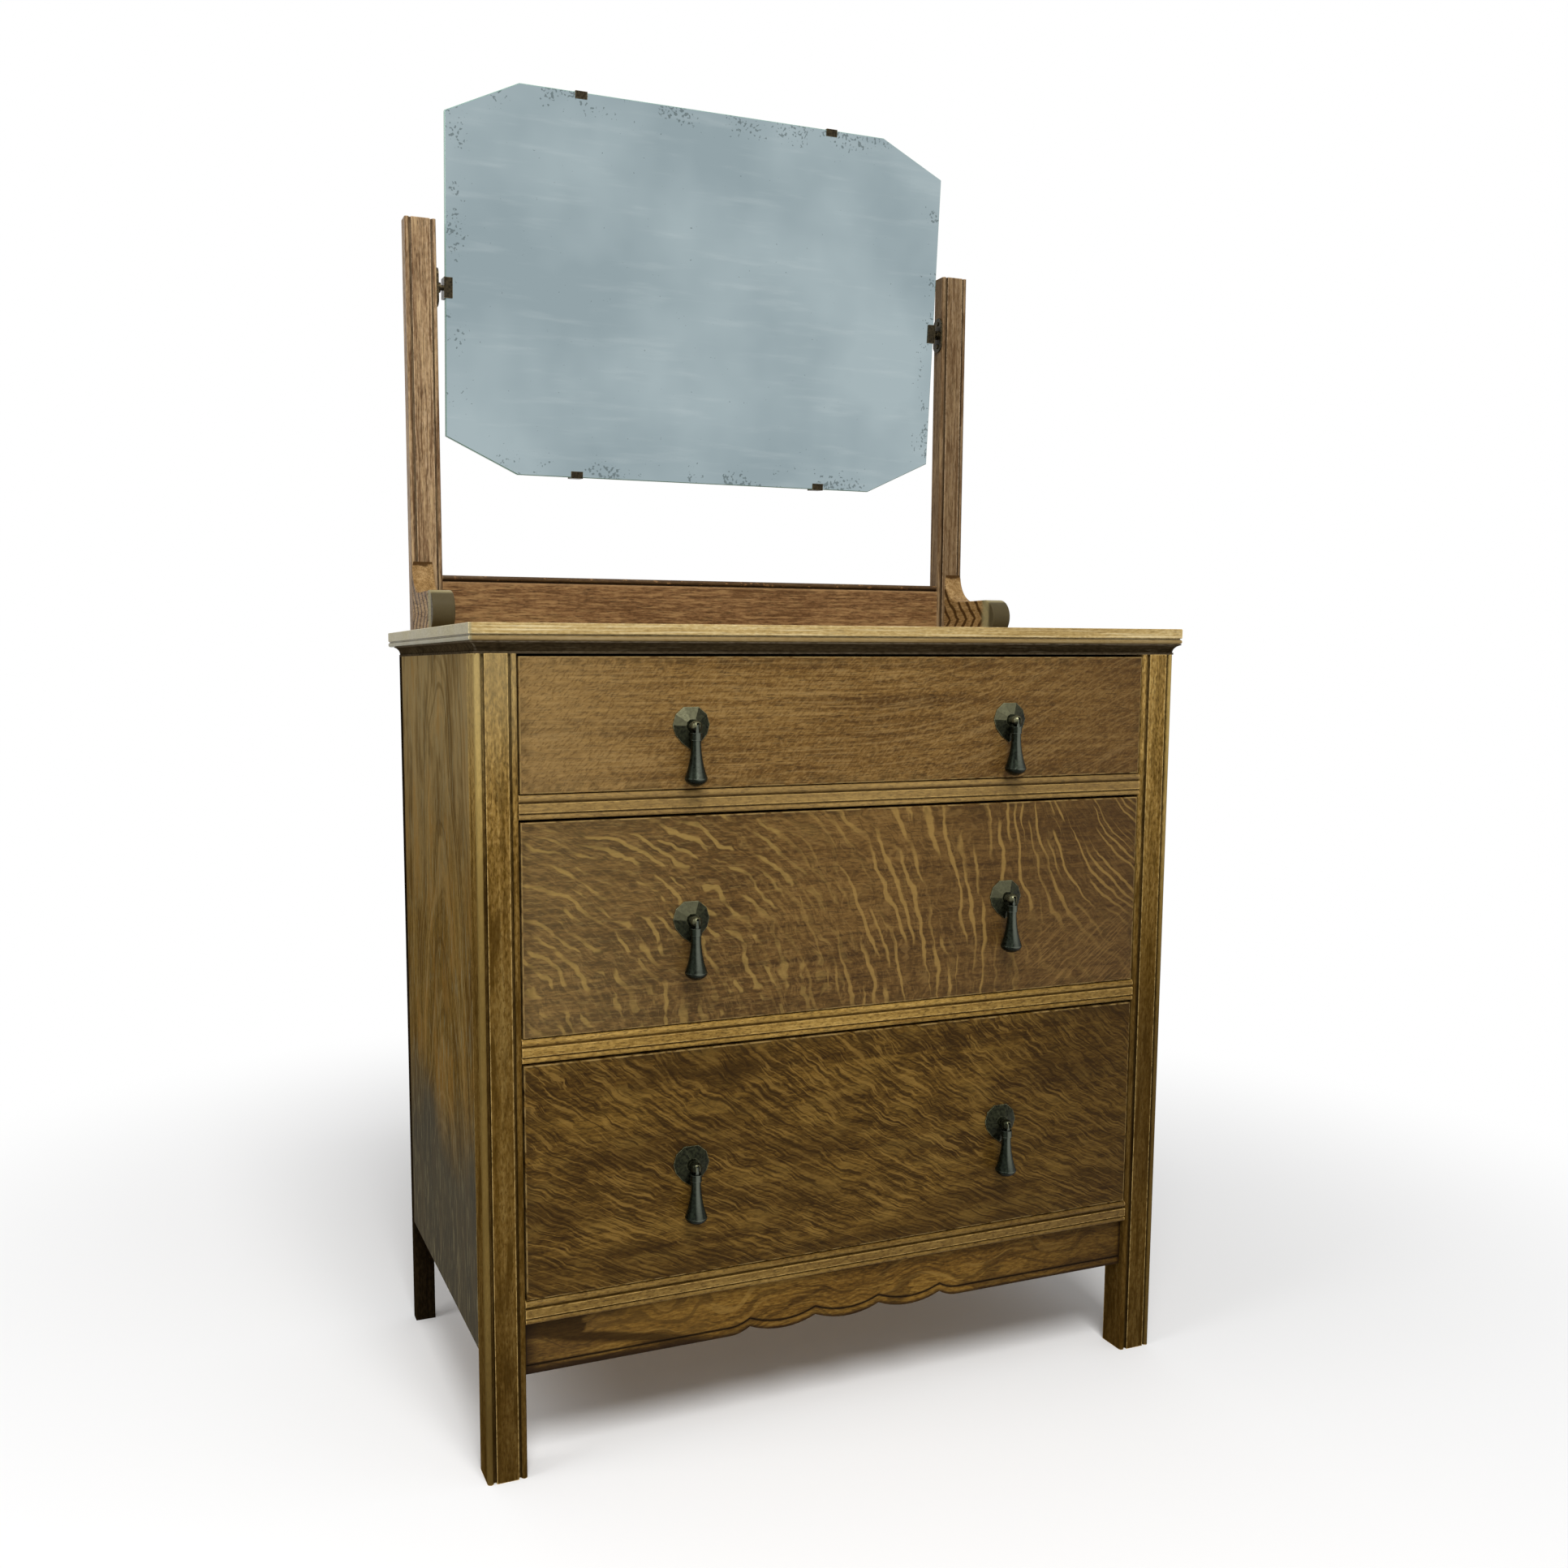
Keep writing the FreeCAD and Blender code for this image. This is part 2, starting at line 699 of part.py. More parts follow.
def drawer_box(name, floor, opening):
    """The drawer itself: front, sides, back and bottom."""
    front = node(f"{name}_drawer_front", body(f"{name}_drawer_front"))
    height = f"{opening} - drawer_gap_top - drawer_gap_bottom"
    face = rectangle("-drawer_width / 2", "0", "drawer_width / 2", height)
    plain = pad(front, outline(front, "XZ", face), "drawer_front_thickness", backwards=True)
    tiny = value("drawer_arris") / 10
    round_edges(front, plain, "drawer_arris", lambda edge: edge.BoundBox.YMax < tiny)
    knob = f"{opening} * {name}_handle_share - drawer_gap_bottom"
    holes = [("-handle_spacing / 2", knob), ("handle_spacing / 2", knob)]
    sketch = circles(front, "XZ", holes, "bolt_radius + bolt_clearance")
    pocket(front, sketch, "drawer_front_thickness")
    place(front, "0", "front_face + drawer_recess", f"{floor} + drawer_gap_bottom")

    inside = "front_face + drawer_recess + drawer_front_thickness"
    side_height = f"{opening} - drawer_gap_top - drawer_side_drop"
    for side, sign in SIDES:
        cheek = node(
            f"{name}_drawer_side_{side}",
            board(
                f"{name}_drawer_side_{side}",
                "drawer_side_thickness",
                "drawer_side_length",
                side_height,
            ),
        )
        left = "-drawer_width / 2" if sign < 0 else "drawer_inner_width / 2"
        place(cheek, left, inside, f"{floor} + runner_clearance")
    bottom = node(
        f"{name}_drawer_bottom",
        board(
            f"{name}_drawer_bottom",
            "drawer_inner_width",
            "drawer_side_length",
            "drawer_bottom_thickness",
        ),
    )
    place(bottom, "-drawer_inner_width / 2", inside, f"{floor} + drawer_bottom_rise")
    back = node(
        f"{name}_drawer_back",
        board(
            f"{name}_drawer_back",
            "drawer_inner_width",
            "drawer_back_thickness",
            f"{side_height} - drawer_bottom_rise - drawer_bottom_thickness - drawer_back_drop",
        ),
    )
    place(
        back,
        "-drawer_inner_width / 2",
        "front_face + drawer_recess + drawer_length - drawer_back_thickness",
        f"{floor} + drawer_bottom_rise + drawer_bottom_thickness",
    )


def plate_outline(scale):
    """The handle plate's outline about the knuckle, at a share of its full size."""
    half = []
    for across, up in PLATE_SHARES:
        reach = "plate_above" if up > 0 else "plate_below"
        half.append((f"{across} * plate_width / 2 * {scale}", f"{up} * {reach} * {scale}"))
    left = [(f"-({across})", up) for across, up in half]
    return left + [("0", f"-plate_below * {scale}")] + half[::-1]


def handle_plate(name):
    """A thin rim, then facets that rise to a small crown with the bolt hole in it."""
    plate = body(name)
    rim = outline(plate, "XZ", plate_outline("1"))
    pad(plate, rim, "plate_rim")
    foot = outline(plate, "XZ", plate_outline("1"), "plate_rim")
    crown = outline(plate, "XZ", plate_outline("plate_crown_share"), "plate_depth")
    doc.recompute()
    facets = plate.newObject("PartDesign::AdditiveLoft", f"{name}_facets")
    facets.Profile = foot
    facets.Sections = [crown]
    facets.Ruled = True
    hole = circles(plate, "XZ", [("0", "0")], "bolt_radius + bolt_clearance", "plate_depth")
    pocket(plate, hole, "plate_depth")
    return plate


def pull_post(name):
    """Split knuckle with its cross pin, on a stem and bolt with a nut at the back."""
    knuckle = doc.addObject("Part::Sphere", f"{name}_knuckle")
    tie(knuckle, "Radius", "knuckle_radius")
    stem = rod(f"{name}_stem", "stem_radius", "pin_standoff - plate_depth", ALONG_Y)
    slot = board(
        f"{name}_slot",
        "knuckle_slot",
        "knuckle_radius + overrun + tongue_radius + slot_clearance",
        "knuckle_radius + overrun + tongue_radius + slot_clearance",
    )
    place(slot, "-knuckle_slot / 2", "-knuckle_radius - overrun", "-knuckle_radius - overrun")
    head = doc.addObject("Part::Fuse", f"{name}_head")
    head.Base = knuckle
    head.Tool = stem
    split = doc.addObject("Part::Cut", f"{name}_split")
    split.Base = head
    split.Tool = slot
    pin = rod(f"{name}_pin", "hinge_pin_radius", "knuckle_slot + hinge_pin_radius", ALONG_X)
    place(pin, "-(knuckle_slot + hinge_pin_radius) / 2")
    bolt = rod(
        f"{name}_bolt",
        "bolt_radius",
        "plate_depth + drawer_front_thickness + nut_height + bolt_end",
        ALONG_Y,
    )
    place(bolt, y="pin_standoff - plate_depth")
    nut = doc.addObject("Part::Prism", f"{name}_nut")
    nut.Polygon = 6
    nut.Placement = FreeCAD.Placement(FreeCAD.Vector(), ALONG_Y)
    tie(nut, "Circumradius", "nut_radius")
    tie(nut, "Height", "nut_height")
    place(nut, y="pin_standoff + drawer_front_thickness")
    post = doc.addObject("Part::MultiFuse", name)
    post.Shapes = [split, pin, bolt, nut]
    return post


def pull(name):
    """Drop pull: a tongue on the pin, a collar, and a neck that swells to a round end."""
    drop = body(name)
    low_collar = "-collar_drop - collar_height"
    belly_end = "-pull_belly - pull_belly_height"
    half = [
        ("0", "-collar_drop"),
        ("0", "-pull_length", "pull_tip_curve", LEFT_OF_WAY),
        ("pull_tip_radius", belly_end, "pull_belly_radius", LEFT_OF_WAY),
        ("pull_radius", "-pull_belly", "neck_flare_radius", RIGHT_OF_WAY),
        ("neck_radius", f"{low_collar} - hinge_pin_radius"),
        ("neck_radius", low_collar),
        ("collar_radius", low_collar),
        ("collar_radius", "-collar_drop"),
    ]
    turned = drop.newObject("PartDesign::Revolution", f"{name}_turned")
    sketch = outline(drop, "XZ", half)
    turned.Profile = sketch
    turned.ReferenceAxis = (sketch, ["V_Axis"])
    turned.Angle = 360
    foot = "-collar_drop - hinge_pin_radius"
    tongue = [
        ("-tongue_radius", foot),
        ("tongue_radius", foot),
        ("tongue_radius", "0", "tongue_radius", LEFT_OF_WAY),
        ("0", "tongue_radius", "tongue_radius", LEFT_OF_WAY),
        ("-tongue_radius", "0"),
    ]
    sketch = outline(drop, "YZ", tongue, "-tongue_thickness / 2")
    pad(drop, sketch, "tongue_thickness")
    bore = "hinge_pin_radius + hinge_pin_clearance"
    sketch = circles(drop, "YZ", [("0", "0")], bore, "tongue_thickness / 2")
    pocket(drop, sketch, "tongue_thickness")
    return drop


def handles(name, floor, opening):
    """Two handles on a drawer: plates and posts as pairs, and each pull by itself."""
    plates = []
    knuckles = []
    for side, sign in SIDES:
        x = f"{sign} * handle_spacing / 2"
        face = "front_face + drawer_recess"
        level = f"{floor} + {opening} * {name}_handle_share"
        plates.append(place(handle_plate(f"{name}_plate_{side}"), x, face, level))
        axis = f"{face} - pin_standoff"
        knuckles.append(place(pull_post(f"{name}_post_{side}"), x, axis, level))
        node(f"{name}_pull_{side}", place(pull(f"{name}_pull_{side}"), x, axis, level))
    node(f"{name}_handle_plates", group(f"{name}_handle_plates", plates))
    node(f"{name}_pull_posts", group(f"{name}_pull_posts", knuckles))


def standards():
    """Mirror standards with beaded front edges, drilled for the pivot plates' screws."""
    for side, sign in SIDES:
        post = node(f"mirror_standard_{side}", body(f"mirror_standard_{side}"))
        section = beaded_section(
            "standard_width", "standard_thickness", "standard_bead", "standard_quirk"
        )
        pad(post, outline(post, "XY", section), "standard_height")
        holes = [
            ("standard_thickness / 2", "pivot_height - screw_spacing / 2"),
            ("standard_thickness / 2", "pivot_height + screw_spacing / 2"),
        ]
        inner = "standard_width" if sign < 0 else "0"
        sketch = circles(post, "YZ", holes, "screw_radius + screw_clearance", inner)
        pocket(post, sketch, "screw_depth", backwards=sign > 0)
        left = "-standard_gap / 2 - standard_width" if sign < 0 else "standard_gap / 2"
        place(post, left, "front_face + standard_front", "top_surface")


def brackets():
    """Bracket foot before each standard, flush outside: round toe, flat, and a sweep up."""
    toe = "bracket_toe_height / 2"
    profile = [
        (toe, "0"),
        ("bracket_length", "0"),
        ("bracket_length", "bracket_toe_height + bracket_sweep", "bracket_sweep", RIGHT_OF_WAY),
        ("bracket_length - bracket_sweep", "bracket_toe_height"),
        (toe, "bracket_toe_height", toe, LEFT_OF_WAY),
        ("0", toe, toe, LEFT_OF_WAY),
    ]
    tiny = value("bracket_arris") / 10
    length = value("bracket_length")

    def shows(edge):
        box = edge.BoundBox
        return box.XLength < tiny and box.ZMax > tiny and box.YMin < length - tiny

    for side, sign in SIDES:
        foot = node(f"bracket_foot_{side}", body(f"bracket_foot_{side}"))
        plain = pad(foot, outline(foot, "YZ", profile), "bracket_thickness")
        round_edges(foot, plain, "bracket_arris", shows)
        outer = f"{sign} * (standard_gap / 2 + standard_width)"
        place(
            foot,
            outer if sign < 0 else f"{outer} - bracket_thickness",
            "front_face + standard_front - bracket_length",
            "top_surface",
        )


def mirror_rail():
    """Rail between the standards, with a bead along its top edge."""
    rail = node("mirror_rail", body("mirror_rail"))
    section = reeded_section(
        "mirror_rail_height", "mirror_rail_thickness", "mirror_rail_bead", "0", "mirror_rail_quirk"
    )
    pad(rail, outline(rail, "YZ", section), "standard_gap")
    setback = "front_face + standard_front + mirror_rail_setback"
    place(rail, "-standard_gap / 2", setback, "top_surface")


def pivot_plates():
    """Oval plate with a bored boss on each standard's inner face, and its two screws."""
    half_width = "pivot_plate_width / 2"
    straight = "(pivot_plate_height - pivot_plate_width) / 2"
    half_height = "pivot_plate_height / 2"
    oval = [
        (half_width, f"-{straight}"),
        (half_width, straight, half_width, LEFT_OF_WAY),
        ("0", half_height, half_width, LEFT_OF_WAY),
        (f"-{half_width}", straight),
        (f"-{half_width}", f"-{straight}", half_width, LEFT_OF_WAY),
        ("0", f"-{half_height}", half_width, LEFT_OF_WAY),
    ]
    screws = []
    for side, sign in SIDES:
        inward = sign > 0
        plate = node(f"pivot_plate_{side}", body(f"pivot_plate_{side}"))
        pad(plate, outline(plate, "YZ", oval), "pivot_plate_thickness", backwards=inward)
        boss = circles(plate, "YZ", [("0", "0")], "pivot_boss_radius")
        pad(plate, boss, "pivot_plate_thickness + pivot_boss_height", backwards=inward)
        bore = circles(plate, "YZ", [("0", "0")], "pivot_pin_radius + pivot_pin_clearance")
        pocket(plate, bore, "pivot_plate_thickness + pivot_boss_height", backwards=not inward)
        levels = ["-screw_spacing / 2", "screw_spacing / 2"]
        holes = [("0", level) for level in levels]
        drilled = circles(plate, "YZ", holes, "screw_radius + screw_clearance")
        pocket(plate, drilled, "pivot_plate_thickness", backwards=not inward)
        face = f"{sign} * standard_gap / 2"
        place(plate, face, "front_face + pivot_back", "pivot_level")
        for place_name, level in zip(("low", "high"), levels):
            name = f"pivot_screw_{place_name}_{side}"
            head = rod(f"{name}_head", "screw_head_radius", "screw_head_height", ALONG_X)
            shank = rod(f"{name}_shank", "screw_radius", "pivot_plate_thickness + screw_depth", ALONG_X)
            inner = "-standard_gap / 2 + pivot_plate_thickness"
            back = "-standard_gap / 2 - screw_depth"
            if sign > 0:
                inner = "standard_gap / 2 - pivot_plate_thickness - screw_head_height"
                back = "standard_gap / 2 - pivot_plate_thickness"
            height = f"pivot_level + {level}"
            place(head, inner, "front_face + pivot_back", height)
            place(shank, back, "front_face + pivot_back", height)
            screw = doc.addObject("Part::Fuse", name)
            screw.Base = head
            screw.Tool = shank
            screws.append(screw)
    node("pivot_screws", group("pivot_screws", screws))


def cut_corners(inset):
    """Mirror outline about the pivot axis, drawn in by the inset on every side."""
    right = f"glass_width / 2 - {inset}"
    top = f"glass_height / 2 + pivot_below_centre - {inset}"
    low = f"-glass_height / 2 + pivot_below_centre + {inset}"
    side = f"{right} - glass_corner_width"
    return [
        (f"-({side})", low),
        (side, low),
        (right, f"{low} + glass_corner_height"),
        (right, f"{top} - glass_corner_height"),
        (side, top),
        (f"-({side})", top),
        (f"-({right})", f"{top} - glass_corner_height"),
        (f"-({right})", f"{low} + glass_corner_height"),
    ]


def mirror():
    """Glass, the board behind it, the clips that hold them and the two pivot claws."""
    glass = node("mirror_glass", body("mirror_glass"))
    plain = pad(
        glass,
        outline(glass, "XZ", cut_corners("0"), "glass_front"),
        "glass_thickness",
        backwards=True,
    )
    front = -value("glass_front")
    tiny = value("glass_bevel") / 10
    round_edges(
        glass,
        plain,
        "glass_bevel",
        lambda edge: abs(edge.BoundBox.Center.y - front) < tiny,
        kind="Chamfer",
        prop="Size",
    )
    hang(glass)
    backing = node("mirror_board", body("mirror_board"))
    sketch = outline(backing, "XZ", cut_corners("board_inset"), "-glass_behind_axis")
    pad(backing, sketch, "board_thickness", backwards=True)
    hang(backing)
    clips()
    claws()


def clips():
    """Four clips, each round the edge of the glass and flat on the back of the board."""
    members = []
    levels = [
        ("low", "-glass_height / 2 + pivot_below_centre", 1),
        ("high", "glass_height / 2 + pivot_below_centre", -1),
    ]
    for level, edge, up in levels:
        outer = f"{edge} - {up} * clip_thickness"
        lip = f"{edge} + {up} * clip_lip"
        tail = f"{edge} + {up} * clip_tail"
        hook = [
            ("-glass_front - clip_thickness", outer),
            ("mirror_back", outer),
            ("mirror_back", tail),
            ("board_back", tail),
            ("board_back", edge),
            ("-glass_front", edge),
            ("-glass_front", lip),
            ("-glass_front - clip_thickness", lip),
        ]
        for side, sign in SIDES:
            clip = body(f"clip_{level}_{side}")
            pad(clip, outline(clip, "YZ", hook), "clip_width")
            place(clip, f"{sign} * clip_spacing / 2 - clip_width / 2")
            members.append(clip)
    hang(node("mirror_clips", group("mirror_clips", members)))


def claws():
    """Pivot claw at each side of the glass, with the pin that turns in the pivot plate."""
    edge = "glass_width / 2"
    outer = f"{edge} + claw_thickness"
    back = "board_back + claw_thickness"
    hook = [
        (f"{edge} - claw_lip", "-glass_front - claw_thickness"),
        (outer, "-glass_front - claw_thickness"),
        (outer, back),
        (f"{outer} - claw_tail", back),
        (f"{outer} - claw_tail", "board_back"),
        (edge, "board_back"),
        (edge, "-glass_front"),
        (f"{edge} - claw_lip", "-glass_front"),
    ]
    claw = body("claw_right")
    pad(claw, outline(claw, "XY", hook, "-claw_height / 2"), "claw_height")
    pin = circles(claw, "YZ", [("0", "0")], "pivot_pin_radius", f"{edge} + claw_thickness / 2")
    reach = "standard_gap / 2 - pivot_pin_end_gap - glass_width / 2 - claw_thickness / 2"
    pad(claw, pin, reach)
    left = mirrored("claw_left", claw)
    hang(node("mirror_pivot_left", group("mirror_pivot_left", [left])))
    hang(node("mirror_pivot_right", group("mirror_pivot_right", [claw])))


def check():
    """Stop at any object that failed, or any sub-part without a sound shape."""
    for item in doc.Objects:
        if "Invalid" in item.State or "Error" in item.State:
            raise RuntimeError(f"{item.Name}: {item.State}")
    for item in nodes:
        if item.Shape.isNull() or not item.Shape.isValid() or not item.Shape.Solids:
            raise RuntimeError(f"{item.Label} has no sound shape")


def export():
    """Write each sub-part to a file of its own name."""
    os.makedirs("parts", exist_ok=True)
    for item in nodes:
        item.Shape.exportStep(f"parts/{item.Label}.step")
    print(len(nodes), "sub-parts written")


fill_sheet()
posts()
panels()
rails()
apron()
top_frame()
top_board()
runners()
for drawer, drawer_floor, drawer_opening, _ in DRAWERS:
    drawer_box(drawer, drawer_floor, drawer_opening)
    handles(drawer, drawer_floor, drawer_opening)
standards()
brackets()
mirror_rail()
pivot_plates()
mirror()
doc.recompute()
check()
export()
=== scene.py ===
# %% [markdown]
# # An oak dressing chest with a swing mirror
#
# The chest has three long drawers, square legs, a scalloped apron and a frameless mirror with
# cut corners that swings between two standards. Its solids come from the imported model, which is
# a fixed frame: every solid keeps its place and its shape. The solids already have the chest's
# true forms, down to the beads and the facets of the handles, so nothing new is modelled here.
# This lesson gives each solid the wood, metal or glass that it is made of, and then sets up a
# plain studio and the camera.

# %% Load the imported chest
from math import atan, cos, degrees, pi, radians, sin

import bmesh
import bpy
from mathutils import Matrix, Vector


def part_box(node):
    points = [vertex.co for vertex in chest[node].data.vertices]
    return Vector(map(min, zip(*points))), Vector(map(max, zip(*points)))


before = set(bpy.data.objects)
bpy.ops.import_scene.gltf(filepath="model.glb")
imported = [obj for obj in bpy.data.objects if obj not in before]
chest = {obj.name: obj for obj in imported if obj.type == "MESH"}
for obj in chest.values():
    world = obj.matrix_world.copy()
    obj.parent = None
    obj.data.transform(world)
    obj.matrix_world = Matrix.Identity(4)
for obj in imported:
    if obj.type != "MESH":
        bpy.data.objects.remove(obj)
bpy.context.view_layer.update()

# %% [markdown]
# ## Colours, nodes and links
#
# A material is a small network of nodes. It could be built by hand in the Shader Editor, but a
# script can be read and changed as a recipe. A colour picker shows sRGB while the shader works in
# linear light, so one function turns the written hex value into linear light. Another adds a node
# with its settings and links. A socket may be given a number, an output, or a whole node, which
# then gives its first output.

# %% Colours, nodes and links


def linear(code):
    """The linear colour for a hex value as a colour picker shows it."""
    parts = [int(code[i:i + 2], 16) / 255 for i in (0, 2, 4)]
    light = [c / 12.92 if c <= 0.04045 else ((c + 0.055) / 1.055) ** 2.4 for c in parts]
    return (*light, 1.0)


def join(node, links):
    """Fill a node's sockets, by name or in their order, from numbers, outputs or other nodes."""
    for socket, value in (links if isinstance(links, dict) else dict(enumerate(links))).items():
        if isinstance(value, bpy.types.Node):
            value = next(output for output in value.outputs if output.enabled)
        if isinstance(value, bpy.types.NodeSocket):
            node.id_data.links.new(value, node.inputs[socket])
        else:
            node.inputs[socket].default_value = value


def add(tree, kind, links=(), stops=(), **settings):
    """Add a node with its settings and links. Stops are the marks of a colour ramp."""
    node = tree.nodes.new("ShaderNode" + kind)
    for name, value in settings.items():
        setattr(node, name, value)
    join(node, links)
    if stops:
        marks = node.color_ramp.elements
        marks[0].position, marks[1].position = stops[0][0], stops[-1][0]
        for position, _ in stops[1:-1]:
            marks.new(position)
        for mark, (_, code) in zip(marks, stops):
            mark.color = linear(code)
    return node


print("a mid brown in linear light:", [round(c, 3) for c in linear("745c2f")])

# %% [markdown]
# ## Where a pattern is measured from
#
# Wood runs on through the solid, so its pattern reads the object's own coordinates, not a flat
# picture that would repeat on every face. They are in metres. One Mapping node multiplies them by
# a thousand, and a mark of so many millimetres is then drawn by dividing by that size. All solids
# share one origin: x is 0 in the middle of the chest, -381 at its left and 381 at its right,
# y grows from the front to the back, and z is 0 on the floor and 790 on the top board.

# %% A new material, measured in millimetres
MM = 1000.0


def start(name):
    """A new material, its tree, its surface shader and the place on the piece in millimetres."""
    material = bpy.data.materials.new(name)
    material.use_nodes = True
    tree = material.node_tree
    where = add(tree, "TexCoord").outputs["Object"]
    place = add(tree, "Mapping", {"Vector": where, "Scale": (MM, MM, MM)})
    return material, tree, tree.nodes["Principled BSDF"], place


def finish_with(material, *nodes):
    """Give whole solids of the frame one material."""
    for node in nodes:
        chest[node].data.materials.clear()
        chest[node].data.materials.append(material)
    print(material.name, "on", len(nodes), "solids:", ", ".join(nodes))


# The camera's focal length in pixels, and how far off it stands in millimetres.
FOCAL, SEEN_FROM = 1713.2, 1400.0
print("1 mm is", round(FOCAL / SEEN_FROM, 1), "pixels, so marks finer than that don't show")

# %% [markdown]
# ## Streaks and stains
#
# Oak shows three things at this distance: growth rings, which are long streaks along the grain;
# open pores, which are short dark dashes; and pale ray flecks across the grain, where the log was
# sawn towards its heart. All are noise that is stretched in one direction, so one helper makes
# them from the length and width of a single mark. A finisher works in layers, and so does the
# second helper: each layer is a value, where it starts to show, where it is full, how strong it
# is and its tint. The strength may be another pattern, so a layer can be broken up by it.

# %% Streaks and stains
SMOOTH = {"interpolation_type": "SMOOTHSTEP"}
# Marks of oak: the length along the grain and the width across it in millimetres.
RING, CLOUD, PEPPER = (300.0, 6.0), (160.0, 45.0), (6.0, 2.2)
# Oak pores are 0.3 mm wide. They are drawn 0.9 mm wide, or they wouldn't show.
PORE = (11.0, 0.9)


def streaks(tree, place, axis, length, width, detail=2.0, warp=0.0):
    """Noise from 0 to 1, with marks of this length along an axis and this width in millimetres."""
    scale = [1 / length if name == axis else 1 / width for name in "XYZ"]
    marks = add(tree, "Mapping", {"Vector": place, "Scale": scale})
    return add(tree, "TexNoise", {"Vector": marks, "Scale": 1.0, "Detail": detail,
                                  "Roughness": 0.6, "Distortion": warp})


def stained(tree, colour, layers):
    """Lay tints over a colour, one after the other."""
    for value, begin, full, strength, tint in layers:
        amount = add(tree, "MapRange", [value, begin, full, 0.0, strength], **SMOOTH)
        tint = linear(tint) if isinstance(tint, str) else tint
        colour = add(tree, "Mix", {0: amount, 6: colour, 7: tint}, data_type="RGBA")
    return colour


print("a ring streak of", RING, "mm is", RING[0] / RING[1], "times as long as it is wide")

# %% [markdown]
# ## Wax and painted shade in hollows, rubbed edges with a painted highlight
#
# Ninety years of polishing leave dark wax in every quirk and rub every ridge pale. Here the dark in
# the hollows is also painted shade, and the pale on the ridges is also a painted highlight. Both
# could be painted by hand, but the shape itself tells where they are. Looking outwards, a place in
# a hollow sees the piece itself close by. Looking inwards, a place on an edge does. The Ambient
# Occlusion node measures both, and it keeps to the piece, so the finish is the same with a drawer
# open.

# %% Wax, painted shade, rubbed edges and painted highlights
WAX_AND_SHADE_REACH, RUB_AND_HIGHLIGHT_REACH = 4.0, 1.6
# The tint of the wax in the hollows, which also paints their shade.
WAX_AND_SHADE_TINT = "1c1409"
# Rubbed edge plus painted highlight: how much brighter than the lightest tone, in linear light.
RUB_AND_HIGHLIGHT_GAIN, RUB_AND_HIGHLIGHT_LIFT = 1.45, 0.03
# Both looks send eight rays and meet only the piece itself.
NEARBY = {"samples": 8, "only_local": True}


def wear_and_light(tree, colour, spots, tones, wax_and_shade, rub_and_highlight):
    """Rubbed edges with a painted highlight, paler than the lightest tone, then wax and painted
    shade in hollows.
    """
    hollow = add(tree, "AmbientOcclusion", {"Distance": WAX_AND_SHADE_REACH / MM}, **NEARBY)
    edge = add(tree, "AmbientOcclusion", {"Distance": RUB_AND_HIGHLIGHT_REACH / MM}, inside=True, **NEARBY)
    patchy_rub_and_highlight = add(tree, "MapRange", [spots, 0.36, 0.56, 0.3 * rub_and_highlight, rub_and_highlight], **SMOOTH)
    bare = [RUB_AND_HIGHLIGHT_GAIN * part + RUB_AND_HIGHLIGHT_LIFT for part in linear(tones[2])]
    return stained(tree, colour, [(edge.outputs["AO"], 0.82, 0.5, patchy_rub_and_highlight, bare),
                                  (hollow.outputs["AO"], 0.9, 0.58, wax_and_shade, WAX_AND_SHADE_TINT)])


# The wax tint in a hollow also paints shade, and a rubbed edge also paints a highlight.
print("wax reaches", WAX_AND_SHADE_REACH, "mm into a hollow, rubbing", RUB_AND_HIGHLIGHT_REACH, "mm in from an edge")

# %% [markdown]
# ## Stained oak with an old satin varnish
#
# Every show piece is oak, planed, stained golden brown and varnished. The stain went darkest into
# the pores. New varnish has a roughness of about 0.3, and this one has worn to 0.42 with a weaker
# reflection. One function makes the oak from its dark, middle and light tone. What is special to
# a board is its figure, a function that gives more layers.

# %% Oak for every board
# Where the dark, middle and light tone stand on the mixed noise, which is mostly close to 0.5.
TONE_STOPS = (0.39, 0.5, 0.61)
# A pore begins at the first of these noise values and is fully open at the second.
OPENS = (0.44, 0.32)


